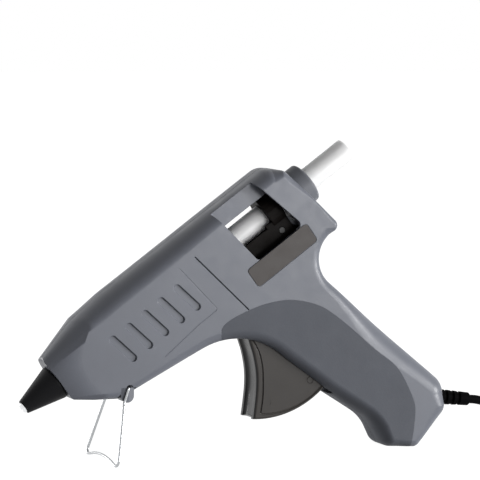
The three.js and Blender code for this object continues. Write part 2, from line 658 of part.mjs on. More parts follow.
function rearCollar() {
  const { collarFront, collarSeat, collarRim } = AT;
  const { round, flange } = COLLAR;
  return turned([
    [collarFront, stickBore],
    [collarFront, COLLAR_RADIUS],
    [collarSeat, COLLAR_RADIUS],
    [collarSeat, COLLAR_FLANGE_RADIUS],
    [collarSeat + flange, COLLAR_FLANGE_RADIUS],
    [collarSeat + flange, COLLAR_RADIUS],
    [collarRim - round, COLLAR_RADIUS],
    [collarRim, COLLAR_RADIUS - round],
    [collarRim, stickBore + round],
    [collarRim - round, stickBore],
    [collarFront, stickBore],
  ]);
}
const glueStick = () => rod(AT.stickFront, AT.stickRear, STICK_RADIUS);

// Trigger and feed
function trigger() {
  const { reach, edgeInset, edgeAcross, bossRadius } = TRIGGER;
  const arc = triggerArc(reach, -radians(triggerAngles.rear));
  const rear = PIVOT[0] + bossRadius;
  const corners = [...triggerFront(0), ...arc, [rear, PIVOT[1] - bossRadius], [rear, PIVOT[1]]];
  const shape = new THREE.Shape(corners.map(([s, h]) => new THREE.Vector2(s, h)));
  const flat = 2 * (TRIGGER_HALF - edgeAcross);
  const options = {
    depth: flat,
    bevelThickness: edgeAcross,
    bevelSize: edgeInset,
    bevelOffset: -edgeInset,
    bevelSegments: FACET.layerCount,
  };
  const geometry = new THREE.ExtrudeGeometry(shape, options).rotateX(Math.PI / 2).translate(0, flat / 2, 0);
  const boss = across(PIVOT, bossRadius, -TRIGGER_HALF, TRIGGER_HALF, FACET.roundSides);
  const inner = LINK.halfWidth + FIT.gap;
  const armSide = capsule(PIVOT, LINK_FRONT, bossRadius, LINK.armWidth / 2);
  const arms = prism(armSide, -ARM_OUTER, ARM_OUTER);
  const slotLow = PIVOT[1] + bossRadius;
  const slot = block([LINK_FRONT[0] - LINK.arm, LINK_FRONT[0] + LINK.arm], [-inner, inner], [slotLow, 0]);
  return cut(join(solid(geometry), boss, cut(arms, slot)),
    across(PIVOT, pinHole, -HALF, HALF),
    across(LINK_FRONT, linkHole, -HALF, HALF, FACET.tinySides));
}
function link() {
  const bar = prism(capsule(LINK_FRONT, LINK_REAR, LINK.height / 2), -LINK.halfWidth, LINK.halfWidth);
  const frontHole = across(LINK_FRONT, linkHole, -HALF, HALF, FACET.tinySides);
  return cut(bar, frontHole, across(LINK_REAR, openHole, -HALF, HALF));
}
const LEVER_CHEEK = LINK.halfWidth + FIT.gap;
function clampLever() {
  const [s, h] = LEVER_PIVOT;
  const jawTop = -STICK_RADIUS - FIT.gap;
  const tip = s - LEVER.jawReach;
  const jaw = [
    [tip, jawTop],
    [tip, jawTop - LEVER.eye / 2],
    LINK_REAR,
    [s, h],
    [tip + LEVER.jawLength, jawTop],
  ];
  const body = join(
    prism(jaw, -LEVER.halfWidth, LEVER.halfWidth),
    prism(capsule(LEVER_PIVOT, LINK_REAR, LEVER.eye), -LEVER.halfWidth, LEVER.halfWidth),
  );
  const top = LINK_REAR[1] + LINK.height / 2 + FIT.run + FIT.gap;
  const room = 2 * LEVER.jawReach;
  const fork = block([s - room, s + room], [-LEVER_CHEEK, LEVER_CHEEK], [h - room, top]);
  return cut(body, fork,
    across(LEVER_PIVOT, linkHole, -HALF, HALF, FACET.tinySides),
    across(LINK_REAR, linkHole, -HALF, HALF, FACET.tinySides));
}
function feedCarriage() {
  const { sideRoom, cheekInner, cheekWall, rise, hook } = CARRIAGE;
  const [front, rear] = [AT.carriageFront, AT.carriageRear];
  const wallFront = rear - BODY.wall;
  const foot = RAIL.top + FIT.gap;
  const outer = cheekInner + cheekWall;
  const cheekFront = front - (rear - front) / 2;
  const under = -STICK_RADIUS / 2;
  const cheeks = [
    block([cheekFront, rear], [-outer, -cheekInner], [foot, under]),
    block([cheekFront, rear], [cheekInner, outer], [foot, under]),
  ];
  const rearWall = block([wallFront, rear], [-outer, outer], [-hook, -stickBore]);
  const gate = block([front - FIT.overrun, wallFront], [-cheekInner, cheekInner], [-rise, under]);
  const past = [wallFront - FIT.overrun, rear + FIT.overrun];
  const wings = block(past, [-outer, outer], [-hook - FIT.overrun, foot]);
  const hookPlate = block([wallFront, rear], [-SPRING.coilRadius, SPRING.coilRadius], [-hook, foot]);
  const round = ring(front, rear, stickBore, INNER_HALF - sideRoom);
  const bore = rod(front - FIT.overrun, rear + FIT.overrun, stickBore);
  const pinBore = across(LEVER_PIVOT, linkHole, -HALF, HALF, FACET.tinySides);
  return join(cut(join(round, ...cheeks, rearWall), gate, wings, bore, pinBore), hookPlate);
}
function returnSpring() {
  const [bossAt, height] = place(screwShares[3]);
  const from = AT.carriageRear + FIT.gap + SPRING.wireRadius;
  const to = bossAt - SCREW.bossRadius - FIT.gap - SPRING.wireRadius;
  const count = Math.floor((to - from) / SPRING.pitch) * SPRING.stepCount;
  const points = Array.from({ length: count + 1 }, (_, i) => {
    const turn = (i / SPRING.stepCount) * 2 * Math.PI;
    const side = SPRING.coilRadius * Math.cos(turn);
    const lift = SPRING.coilRadius * Math.sin(turn);
    return new THREE.Vector3(from + (i / count) * (to - from), side, height + lift);
  });
  return tube(points, SPRING.wireRadius, SPRING.sideCount);
}
const crossPin = (at, radius, half, sides = FACET.tinySides) => across(at, radius, -half, half, sides);

// Screws: a pan head with a cross recess, drawn with its head towards +Y
function screw([s, h], headTop, radius, head, height, length) {
  const shank = across([s, h], radius, headTop - length, headTop - height / 2, FACET.tinySides);
  const cap = across([s, h], head, headTop - height, headTop);
  const arm = head * SCREW.recessShare;
  const deep = [headTop - height / 2, headTop + FIT.overrun];
  const recess = [
    block([s - arm, s + arm], deep, [h - SCREW.slot / 2, h + SCREW.slot / 2]),
    block([s - SCREW.slot / 2, s + SCREW.slot / 2], deep, [h - arm, h + arm]),
  ];
  return cut(join(shank, cap), ...recess);
}
const shellScrew = (at) =>
  screw(at, SCREW_TOP, SCREW.radius, SCREW.head, SCREW.headHeight, SCREW.length);
function cordClamp() {
  const high = -CORD.radius - FIT.gap;
  const [s0, s1] = [-CLAMP.distance - CLAMP.width / 2, -CLAMP.distance + CLAMP.width / 2];
  const half = CLAMP.length / 2;
  const bar = atRelief(block([s0, s1], [high - CLAMP.thickness, high], [-half, half]));
  const hole = CLAMP.screw + FIT.gap;
  return cut(bar, ...clampAxis().map((at) => across([at.x, at.y], hole, -HALF, HALF, FACET.tinySides)));
}
function clampScrew(at) {
  const top = CORD.radius + FIT.gap + CLAMP.thickness + FIT.gap + SCREW.headHeight;
  const made = screw([at.x, at.y], top, CLAMP.screw, CLAMP.screw * 2, SCREW.headHeight, SCREW.length / 2);
  return made.mirror([0, 1, 0]);
}

// Wire stand, drawn level: X and Z from its pivot
function standPath(lower) {
  const [, pivotHeight] = level(place(standShares.pivot));
  const floor = FLOOR - pivotHeight + STAND.wire - lower;
  const leg = (sign) => {
    const pin = new THREE.Vector3(0, sign * (STAND_ACROSS - STAND_BEND.pinLength), 0);
    const hip = new THREE.Vector3(0, sign * STAND_ACROSS, 0);
    const knee = new THREE.Vector3(-STAND.kneeLean, sign * STAND_ACROSS, -STAND.kneeDrop);
    const foot = new THREE.Vector3(-STAND.lean, sign * STAND.footAcross, floor);
    const inward = new THREE.Vector3(-STAND.lean, sign * (STAND.footAcross - 3 * STAND_BEND.foot), floor);
    const hipBend = softened([pin, hip, knee], STAND_BEND.pin, FACET.layerCount).slice(0, -1);
    const kneeBend = softened([hip, knee, foot], STAND_BEND.knee, FACET.layerCount / 2).slice(1, -1);
    const footBend = softened([knee, foot, inward], STAND_BEND.foot, 2 * FACET.layerCount).slice(1, -1);
    return [...hipBend, ...kneeBend, ...footBend];
  };
  const reach = STAND.footAcross - 2 * STAND_BEND.foot;
  const arch = Array.from({ length: STAND_BEND.archCount - 1 }, (_, i) => {
    const share = (2 * (i + 1)) / STAND_BEND.archCount - 1;
    return new THREE.Vector3(-STAND.lean, share * reach, floor + STAND.arch * (1 - share * share));
  });
  return [...leg(-1), ...arch, ...leg(1).reverse()];
}
function standWire() {
  const [, pivotHeight] = level(place(standShares.pivot));
  const lowest = (path) => Math.min(...path.map((p) => p.z)) - STAND.wire - (FLOOR - pivotHeight);
  return tube(standPath(lowest(standPath(0))), STAND.wire, FACET.tinySides - 2);
}

// Strain relief and the cord inside the grip, drawn about the relief's axis
function strainRelief() {
  const { radius, endRadius, length, neck, flangeRadius, flange, rib } = RELIEF;
  const bore = CORD.radius + FIT.gap;
  const inside = -BODY.wall - FIT.run;
  const outline = [
    [inside - flange, bore],
    [inside - flange, flangeRadius],
    [inside, flangeRadius],
    [inside, neck],
    [FIT.run, neck],
    [FIT.run, radius],
  ];
  for (const share of reliefGrooveShares) {
    const s = share * length;
    const skin = radius + (endRadius - radius) * share;
    outline.push([s - rib, skin], [s - rib, skin - rib], [s + rib, skin - rib], [s + rib, skin]);
  }
  outline.push([length - rib, endRadius], [length, endRadius - rib], [length, bore], [inside - flange, bore]);
  return atRelief(turned(outline, FACET.smallSides));
}
const cordTail = () => atRelief(rod(-CORD.tail, RELIEF.length - FIT.gap, CORD.radius, CORD.sideCount));
function leadWire(side) {
  const end = AT.heaterRear + HEATER.tab + FIT.gap;
  const middle = -CHAMBER_RADIUS - FIT.gap - HEATER.height / 2;
  const tail = RELIEF_AT.clone().addScaledVector(RELIEF_DIRECTION, -CORD.tail - FIT.gap);
  const fore = tail.clone().addScaledVector(RELIEF_DIRECTION, -LEAD.spread);
  const off = (side * LEAD.spread) / 2;
  const y = (side * HEATER.width) / 4;
  const points = [
    [end, y, middle],
    [end + LEAD.spread, y, middle],
    [end + LEAD.slope, LEAD_ACROSS, LEAD.lane + off],
    [AT.leadBend + off, LEAD_ACROSS, LEAD.lane + off],
    [AT.leadBend + off, LEAD_ACROSS, off - LEAD.turnShare * BODY.drop],
    [fore.x, side * LEAD.exitAcross, fore.y],
    [tail.x, side * LEAD.exitAcross, tail.y],
  ];
  const corners = points.map((at) => new THREE.Vector3(...at));
  return tube(softened(corners, LEAD.spread / 2, 3), LEAD.radius, LEAD.sideCount);
}

// Free cord, coil and plug, drawn level
const reliefEnd = (() => {
  const end = RELIEF_AT.clone().addScaledVector(RELIEF_DIRECTION, RELIEF.length + FIT.gap);
  const [x, z] = level([end.x, end.y]);
  return new THREE.Vector3(x, 0, z);
})();
const reliefLean = (() => {
  const [x, z] = level([RELIEF_DIRECTION.x, RELIEF_DIRECTION.y]);
  return new THREE.Vector3(x, 0, z).normalize();
})();
const cordFloor = FLOOR + CORD.radius;
// The free stretch: runs along and drops above the floor, from the relief's end to the coil
const cordRoute = [
  [14, 0, 17.6], [24, -2.4, 14.2], [34, -8.2, 9.8], [44, -15, 5.6], [54, -20.6, 2.9], [63, -22.6, 2.27],
  [70, -22.6, 2.25],
];
const cordPoints = [
  reliefEnd.clone(),
  reliefEnd.clone().addScaledVector(reliefLean, 2 * CORD.radius),
  ...cordRoute.map(([x, y, z]) => new THREE.Vector3(reliefEnd.x + x, y, FLOOR + z)),
];
const cordEnd = cordPoints[cordPoints.length - 1];
const COIL_START = cordEnd.clone().setX(cordEnd.x + FIT.gap);
const smoothStep = (t) => t * t * (3 - 2 * t);
const COIL_TOP = cordFloor + COIL.layer;
const PLUG_RISE = CORD.radius + FIT.gap + PLUG.thickness / 2;
function coilPoints() {
  const entry = COIL_START.x + COIL.straight;
  const centre = new THREE.Vector2(entry, COIL_START.y + COIL.outer);
  const count = Math.round(COIL.turnCount * COIL.stepCount);
  const half = count / 2;
  // The climb to the plug: a last quarter of the coil, then a tighter quarter that turns in
  const quarter = COIL.stepCount / 4;
  const ringShare = COIL.outer / (COIL.outer + COIL.turnIn);
  const points = [COIL_START.clone()];
  for (let i = 0; i <= count; i++) {
    const turn = (i / COIL.stepCount) * 2 * Math.PI - Math.PI / 2;
    const radius = COIL.outer - (COIL.pitch * (half - Math.abs(i - half))) / COIL.stepCount;
    const climb = Math.min(Math.max((i - half) / (COIL.stepCount / 2) + 1 / 2, 0), 1);
    const rise = ringShare * Math.max((i - count) / quarter + 1, 0);
    const z = cordFloor + COIL.layer * smoothStep(climb) + PLUG_RISE * smoothStep(rise);
    const [x, y] = [centre.x + radius * Math.cos(turn), centre.y + radius * Math.sin(turn)];
    points.push(new THREE.Vector3(x, y, z));
  }
  for (let i = 1; i <= quarter; i++) {
    const turn = ((i / quarter) * Math.PI) / 2;
    const z = COIL_TOP + PLUG_RISE * smoothStep(ringShare + (1 - ringShare) * (i / quarter));
    const x = centre.x + COIL.outer - COIL.turnIn * (1 - Math.cos(turn));
    points.push(new THREE.Vector3(x, centre.y + COIL.turnIn * Math.sin(turn), z));
  }
  const last = points[points.length - 1];
  points.push(last.clone().setX(last.x - COIL.straight));
  return points;
}
function leastGap(points, radius) {
  let least = Infinity;
  const skip = Math.ceil(COIL.stepCount / 3);
  points.forEach((a, i) => {
    for (const b of points.slice(i + skip)) least = Math.min(least, a.distanceTo(b));
  });
  return least - 2 * radius;
}
const coilRoute = coilPoints();
const coilEnd = coilRoute[coilRoute.length - 1];
function lengthOf(points) {
  return points.slice(1).reduce((sum, p, i) => sum + p.distanceTo(points[i]), 0);
}
function plugBody() {
  const { length, width, thickness, round, nose, noseRadius, neckRadius } = PLUG;
  const low = -thickness / 2;
  const sides = plugShares.map(([a, b]) => new THREE.Vector2(b * width, nose + a * (length - nose)));
  const shape = new THREE.Shape([...sides, ...sides.map((p) => new THREE.Vector2(-p.x, p.y)).reverse()]);
  const geometry = new THREE.ExtrudeGeometry(shape, {
    depth: thickness - 2 * round,
    bevelThickness: round,
    bevelSize: round,
    bevelOffset: -round,
    bevelSegments: 2,
  });
  geometry.translate(0, 0, low + round);
  const entry = new THREE.CylinderGeometry(noseRadius, neckRadius, nose + 2 * round, FACET.smallSides);
  entry.translate(0, nose / 2 + round, 0);
  return join(solid(geometry), solid(entry));
}
function plugPin(side) {
  const pin = new THREE.CylinderGeometry(PLUG.pinRadius, PLUG.pinRadius, PLUG.pinLength, FACET.tinySides);
  const middle = PLUG.length + FIT.gap + PLUG.pinLength / 2;
  return solid(pin.translate((side * PLUG.pinSpread) / 2, middle, 0));
}

// Finishes: colour, roughness and metalness
const GREY = { color: 0x7b7f86, roughness: 0.5 };
const BLACK = { color: 0x1a1b1d, roughness: 0.45 };
const RUBBER = { color: 0x17181a, roughness: 0.75 };
const STEEL = { color: 0xc9ccd0, roughness: 0.25, metalness: 1 };
const ZINC = { color: 0xa9adb3, roughness: 0.35, metalness: 1 };
const BRASS = { color: 0xb8995a, roughness: 0.3, metalness: 1 };
const ALLOY = { color: 0xb7bbc0, roughness: 0.4, metalness: 1 };
const CERAMIC = { color: 0x8a4b2a, roughness: 0.6 };
const SILICONE = { color: 0xb5402c, roughness: 0.6 };
const TRIGGER_PLASTIC = { color: 0x3b3a3a, roughness: 0.25 };
const GLUE = { color: 0xe9eef5, roughness: 0.35 };
const PLATE_FILM = { color: 0x5a5552, roughness: 0.45 };
const BLUE = { color: 0x2f5fa8, roughness: 0.5 };
const BROWN = { color: 0x7a4a2b, roughness: 0.5 };

// The assembly
const root = new THREE.Group();
const gun = new THREE.Group();
const ground = new THREE.Group();
gun.rotation.y = -TILT;
root.add(gun, ground);
function add(group, name, made, finish) {
  const mesh = new THREE.Mesh(geometryOf(made), new THREE.MeshStandardMaterial(finish));
  mesh.name = name;
  group.add(mesh);
  return mesh;
}
add(gun, "left_shell", shell(false), GREY);
add(gun, "right_shell", shell(true), GREY);
screwShares.map(place).forEach((at, i) => add(gun, `shell_screw_${i + 1}`, shellScrew(at), ZINC));
add(gun, "nozzle_tip", nozzleTip(), STEEL);
add(gun, "nozzle_boot", nozzleBoot(), RUBBER);
add(gun, "melt_chamber", meltChamber(), ALLOY);
add(gun, "ptc_heater", ptcHeater(), CERAMIC);
add(gun, "inlet_sleeve", inletSleeve(), SILICONE);
add(gun, "sleeve_clamp", sleeveClamp(), ZINC);
add(gun, "stick_collar", rearCollar(), GREY);
add(gun, "glue_stick", glueStick(), GLUE);
add(gun, "trigger", trigger(), TRIGGER_PLASTIC);
const pivotPin = crossPin(PIVOT, TRIGGER.pinRadius, INNER_HALF - FIT.gap, FACET.smallSides);
add(gun, "trigger_pivot_pin", pivotPin, STEEL);
add(gun, "feed_link", link(), BLACK);
add(gun, "link_front_pin", crossPin(LINK_FRONT, LINK.pinRadius, ARM_OUTER), STEEL);
add(gun, "link_rear_pin", crossPin(LINK_REAR, LINK.pinRadius, LEVER.halfWidth), STEEL);
add(gun, "clamp_lever", clampLever(), BLACK);
const leverPin = crossPin(LEVER_PIVOT, LINK.pinRadius, CARRIAGE.cheekInner + CARRIAGE.cheekWall);
add(gun, "lever_pin", leverPin, STEEL);
add(gun, "feed_carriage", feedCarriage(), BLACK);
add(gun, "return_spring", returnSpring(), STEEL);
const plateBack = -HALF + PLATE.sink;
add(gun, "rating_plate", prism(plateOutline(0), plateBack - PLATE.thickness, plateBack), PLATE_FILM);
add(gun, "strain_relief", strainRelief(), RUBBER);
add(gun, "cord_tail", cordTail(), RUBBER);
add(gun, "cord_clamp", cordClamp(), BLACK);
clampAxis().forEach((at, i) => add(gun, `clamp_screw_${i + 1}`, clampScrew(at), ZINC));
add(gun, "lead_wire_neutral", leadWire(-1), BLUE);
add(gun, "lead_wire_live", leadWire(1), BROWN);

const stand = add(ground, "stand_wire", standWire(), STEEL);
const [standX, standZ] = level(place(standShares.pivot));
stand.position.set(standX, 0, standZ);

// The origin is the middle of the gun's own footprint, without what lies on the floor beside it
root.updateMatrixWorld(true);
const cordNames = ["strain_relief", "cord_tail"];
const extent = new THREE.Box3();
root.traverse((o) => {
  if (o.isMesh && !cordNames.includes(o.name)) extent.expandByObject(o, true);
});

add(ground, "power_cord", tube(cordPoints, CORD.radius, CORD.sideCount), RUBBER);
add(ground, "cord_coil", tube(coilRoute, CORD.radius, COIL.sideCount), RUBBER);
const plug = new THREE.Group();
plug.position.copy(coilEnd).setX(coilEnd.x - FIT.gap);
plug.rotation.z = Math.PI / 2;
ground.add(plug);
add(plug, "plug_body", plugBody(), BLACK);
[-1, 1].forEach((side, i) => add(plug, `plug_pin_${i + 1}`, plugPin(side), BRASS));

const middle = extent.getCenter(new THREE.Vector3());
for (const group of [gun, ground]) group.position.set(-middle.x, 0, -FLOOR);

console.log("coil's least gap to itself, mm:", leastGap(coilRoute, CORD.radius).toFixed(2));
console.log("cord length outside the relief, mm:", (lengthOf(cordPoints) + lengthOf(coilRoute)).toFixed(0));

export default root;
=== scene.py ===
import math

import bmesh
import bpy
import numpy as np
from mathutils import Matrix, Vector


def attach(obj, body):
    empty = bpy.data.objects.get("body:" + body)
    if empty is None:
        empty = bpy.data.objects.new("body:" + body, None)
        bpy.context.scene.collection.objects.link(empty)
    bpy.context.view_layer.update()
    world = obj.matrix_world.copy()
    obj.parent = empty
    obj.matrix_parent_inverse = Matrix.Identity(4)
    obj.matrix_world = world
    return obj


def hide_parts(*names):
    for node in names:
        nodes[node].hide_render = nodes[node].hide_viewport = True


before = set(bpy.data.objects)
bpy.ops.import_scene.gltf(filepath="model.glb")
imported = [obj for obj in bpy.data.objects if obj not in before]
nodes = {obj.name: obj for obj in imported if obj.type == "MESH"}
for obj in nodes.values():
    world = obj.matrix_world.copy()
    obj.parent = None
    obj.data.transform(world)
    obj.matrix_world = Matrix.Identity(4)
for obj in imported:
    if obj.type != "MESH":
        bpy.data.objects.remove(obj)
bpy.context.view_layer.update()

scene = bpy.context.scene

# Millimetres. The gun's own frame: s along the barrel from the nozzle tip, y across, h square to the barrel.
TILT = math.radians(35.7)
COS, SIN = math.cos(TILT), math.sin(TILT)
TIP_X, TIP_Z = -109.809, 28.006
FLOOR = -TIP_Z
NOSE_FACE, LENGTH, RISE, DROP, WIDTH, WALL = 21.5, 160.7, 21.4, 142.2, 30.0, 2.2
HALF, INNER = WIDTH / 2, WIDTH / 2 - WALL
GAP, RUN, SEAM = 0.3, 0.6, 0.3
CLEAR = HALF + 3
GUN = Matrix((
    (COS / 1000, 0, -SIN / 1000, TIP_X / 1000),
    (0, 1 / 1000, 0, 0),
    (SIN / 1000, 0, COS / 1000, TIP_Z / 1000),
    (0, 0, 0, 1),
))
LEVEL = Matrix.Scale(0.001, 4)


def place(share):
    """Shares of the body's length and of its rise or drop, as a gun frame point."""
    along, up = share
    return NOSE_FACE + along * LENGTH, up * (RISE if up > 0 else DROP)


def level(s, h):
    """A gun frame point as x and z of the part's frame."""
    return TIP_X + COS * s - SIN * h, TIP_Z + SIN * s + COS * h


def direction(azimuth, elevation):
    """Towards a place at this azimuth, from the front to the right, and this elevation."""
    return Vector((
        math.sin(azimuth) * math.cos(elevation),
        -math.cos(azimuth) * math.cos(elevation),
        math.sin(elevation),
    ))


# Camera, at the photograph's viewing angle. The focal length is in pixels of the photograph's frame.
AZIMUTH, ELEVATION = math.radians(-21), math.radians(5)
FOCAL_PIXELS, FRAME_PIXELS, SENSOR = 3015, 480, 36
CAMERA_AT = (-0.53150, -1.39504, 0.23768)


def make_camera():
    back = direction(AZIMUTH, ELEVATION)
    right = Vector((math.cos(AZIMUTH), math.sin(AZIMUTH), 0))
    up = back.cross(right)
    data = bpy.data.cameras.new("camera")
    data.sensor_width = SENSOR
    data.lens = FOCAL_PIXELS * SENSOR / FRAME_PIXELS
    data.clip_start, data.clip_end = 0.1, 20
    camera = bpy.data.objects.new("camera", data)
    turn = Matrix((right, up, back)).transposed().to_4x4()
    camera.matrix_world = Matrix.Translation(CAMERA_AT) @ turn
    scene.collection.objects.link(camera)
    scene.camera = camera


make_camera()


# Mesh helpers: everything is made in millimetres and moved to the part's frame at the end
def unit(vectors):
    """A vector, or each row of an array of them, at length 1."""
    return vectors / np.linalg.norm(vectors, axis=-1, keepdims=True)


def swung(vector, angle):
    """A flat vector turned by an angle."""
    x, y, c, d = *vector, math.cos(angle), math.sin(angle)
    return np.array((x * c - y * d, x * d + y * c))


def ease(share):
    """From 0 to 1 with a soft start and end."""
    share = min(max(share, 0), 1)
    return share * share * (3 - 2 * share)


def new_mesh(points, faces):
    mesh = bpy.data.meshes.new("made")
    mesh.from_pydata([tuple(map(float, p)) for p in points], [], faces)
    made = bmesh.new()
    made.from_mesh(mesh)
    bmesh.ops.remove_doubles(made, verts=made.verts, dist=1e-4)
    bmesh.ops.recalc_face_normals(made, faces=made.faces)
    made.to_mesh(mesh)
    made.free()
    return mesh


def boolean(base, operation, *tools):
    """Base joined with, cut by or met with each tool in turn."""
    for tool in tools:
        holder = bpy.data.objects.new("base", base)
        other = bpy.data.objects.new("tool", tool)
        for o in (holder, other):
            scene.collection.objects.link(o)
        modifier = holder.modifiers.new("boolean", "BOOLEAN")
        modifier.operation, modifier.solver, modifier.object = operation, "MANIFOLD", other
        graph = bpy.context.evaluated_depsgraph_get()
        made = bpy.data.meshes.new_from_object(holder.evaluated_get(graph), depsgraph=graph)
        bpy.data.objects.remove(holder)
        bpy.data.objects.remove(other)
        base = made
    return base


def cut(base, *tools):
    return boolean(base, "DIFFERENCE", *tools)


def join(base, *tools):
    return boolean(base, "UNION", *tools)


def meet(base, tool):
    return boolean(base, "INTERSECT", tool)


def mirrored(mesh):
    made = mesh.copy()
    made.transform(Matrix.Diagonal((1, -1, 1, 1)))
    made.flip_normals()
    return made


def lofted(points, count):
    """A solid over rows of that many points each, with flat ends."""
    rows = len(points) // count
    faces = [tuple(range(count)), tuple(range(rows * count - 1, (rows - 1) * count - 1, -1))]
    for k in range(rows - 1):
        for i in range(count):
            j = (i + 1) % count
            faces.append((k * count + i, k * count + j, (k + 1) * count + j, (k + 1) * count + i))
    return new_mesh(points, faces)


def prism(outline, low, high):
    """Side points (s, h) from y = low to y = high."""
    return lofted([(s, y, h) for y in (low, high) for s, h in outline], len(outline))


def block(s, y, h):
    return prism([(s[0], h[0]), (s[1], h[0]), (s[1], h[1]), (s[0], h[1])], y[0], y[1])


def circle(centre, radius, sides):
    turns = [2 * math.pi * i / sides for i in range(sides)]
    return [(centre[0] + radius * math.cos(t), centre[1] + radius * math.sin(t)) for t in turns]


def across(at, radius, low, high, sides=48):
    """A cylinder from y = low to y = high."""
    return prism(circle(at, radius, sides), low, high)


def turned(profile, sides=96):
    """A solid of revolution about the barrel axis from (s, radius) points, closed on itself or the axis."""
    closed = profile[0] == profile[-1]
    ring = profile[:-1] if closed else profile
    points, starts = [], []
    for s, radius in ring:
        is_round = radius > 1e-6
        starts.append((len(points), is_round))
        for i in range(sides if is_round else 1):
            t = 2 * math.pi * i / sides
            points.append((s, radius * math.cos(t), radius * math.sin(t)))
    faces = []
    pairs = list(zip(starts, starts[1:])) + ([(starts[-1], starts[0])] if closed else [])
    for (a, round_a), (b, round_b) in pairs:
        for i in range(sides):
            j = (i + 1) % sides
            if round_a and round_b:
                faces.append((a + i, a + j, b + j, b + i))
            elif round_a:
                faces.append((a + i, a + j, b))
            elif round_b:
                faces.append((a, b + j, b + i))
    return new_mesh(points, faces)


def rod(s0, s1, radius, sides=96):
    """A cylinder along the barrel axis."""
    return turned([(s0, 0), (s0, radius), (s1, radius), (s1, 0)], sides)


def rounded(profile, radius, steps):
    """A profile with each inner corner rounded by up to that radius. Closed where first and last agree."""
    straight, folded, most = math.radians(170), math.radians(5), 0.45
    closed = profile[0] == profile[-1]
    ring = [np.array(p, float) for p in (profile[:-1] if closed else profile)]
    n, out = len(ring), []
    for i, at in enumerate(ring):
        if not closed and i in (0, n - 1):
            out.append(tuple(at))
            continue
        before, after = ring[i - 1] - at, ring[(i + 1) % n] - at
        lengths = np.linalg.norm(before), np.linalg.norm(after)
        before, after = before / lengths[0], after / lengths[1]
        angle = math.acos(float(np.clip(before @ after, -1, 1)))
        if angle > straight or angle < folded:
            out.append(tuple(at))
            continue
        run = min(radius / math.tan(angle / 2), most * lengths[0], most * lengths[1])
        start, end = at + before * run, at + after * run
        for k in range(steps + 1):
            t = k / steps
            out.append(tuple((1 - t) ** 2 * start + 2 * t * (1 - t) * at + t * t * end))
    return out + [out[0]] if closed else out


def capsule(a, b, r0, r1=None, steps=12):
    """The outline round two points, with radius r0 at the first and r1 at the other."""
    r1 = r0 if r1 is None else r1
    lean = math.atan2(b[1] - a[1], b[0] - a[0])
    out = []
    for centre, radius, start in ((b, r1, lean - math.pi / 2), (a, r0, lean + math.pi / 2)):
        for i in range(steps + 1):
            t = start + math.pi * i / steps
            out.append((centre[0] + radius * math.cos(t), centre[1] + radius * math.sin(t)))
    return out


def softened(points, radius, steps):
    """Points with an arc of that radius at each inner corner."""
    points = [np.array(p, float) for p in points]
    out = [points[0]]
    for before, at, after in zip(points, points[1:], points[2:]):
        u, v = unit(before - at), unit(after - at)
        half = math.acos(float(np.clip(u @ v, -1, 1))) / 2
        centre = at + unit(u + v) * radius / math.sin(half)
        start = at + u * radius / math.tan(half) - centre
        end = at + v * radius / math.tan(half) - centre
        sweep = math.pi - 2 * half
        for k in range(steps + 1):
            a = math.sin((1 - k / steps) * sweep) / math.sin(sweep)
            b = math.sin(k / steps * sweep) / math.sin(sweep)
            out.append(centre + start * a + end * b)
    return out + [points[-1]]


def tube(points, radius, sides):
    """A round tube along points."""
    line = np.array(points, float)
    tangents = unit(np.gradient(line, axis=0))
    side = np.cross(tangents[0], (0, 0, 1) if abs(tangents[0][2]) < 0.9 else (1, 0, 0))
    vertices = []
    for at, tangent in zip(line, tangents):
        side = unit(side - tangent * (side @ tangent))
        other = np.cross(tangent, side)
        for i in range(sides):
            turn = 2 * math.pi * i / sides
            vertices.append(at + radius * (side * math.cos(turn) + other * math.sin(turn)))
    return lofted(vertices, sides)


def smooth_line(points, per_span):
    """A centripetal spline through points."""
    p = [np.array(q, float) for q in points]
    p = [2 * p[0] - p[1]] + p + [2 * p[-1] - p[-2]]
    out = []
    for a, b, c, d in zip(p, p[1:], p[2:], p[3:]):
        t1 = np.linalg.norm(b - a) ** 0.5
        t2 = t1 + np.linalg.norm(c - b) ** 0.5
        t3 = t2 + np.linalg.norm(d - c) ** 0.5
        for k in range(per_span):
            t = t1 + (t2 - t1) * k / per_span
            a1 = (t1 - t) / t1 * a + t / t1 * b
            a2 = (t2 - t) / (t2 - t1) * b + (t - t1) / (t2 - t1) * c
            a3 = (t3 - t) / (t3 - t2) * c + (t - t2) / (t3 - t2) * d
            b1 = (t2 - t) / t2 * a1 + t / t2 * a2
            b2 = (t3 - t) / (t3 - t1) * a2 + (t - t1) / (t3 - t1) * a3
            out.append((t2 - t) / (t2 - t1) * b1 + (t - t1) / (t2 - t1) * b2)
    return out + [p[-2]]


def finished(mesh, finish, angle):
    """One finish all over, and smooth shading across edges of up to that angle in degrees."""
    mesh.materials.clear()
    mesh.materials.append(finish)
    mesh.polygons.foreach_set("material_index", [0] * len(mesh.polygons))
    mesh.shade_smooth()
    mesh.set_sharp_from_angle(angle=math.radians(angle))


def piece(name, mesh, matrix, body, finish, replaces, angle=32):
    """A finished piece: in the part's frame, shaded, painted, and riding on its body."""
    mesh.transform(matrix)
    finished(mesh, finish, angle)
    made = bpy.data.objects.new(name, mesh)
    scene.collection.objects.link(made)
    modifier = made.modifiers.new("normals", "WEIGHTED_NORMAL")
    modifier.keep_sharp, modifier.weight = True, 50
    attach(made, body)
    if replaces:
        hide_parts(*replaces)
    return made


# Materials: each has its own grain, colour variation and wear
def with_inputs(node, values):
    for name, value in values.items():
        node.inputs[name].default_value = value
    return node


def noise(tree, where, scale, detail=3.0):
    texture = with_inputs(tree.nodes.new("ShaderNodeTexNoise"), {"Scale": scale, "Detail": detail})
    tree.links.new(where, texture.inputs["Vector"])
    return texture.outputs["Fac"]


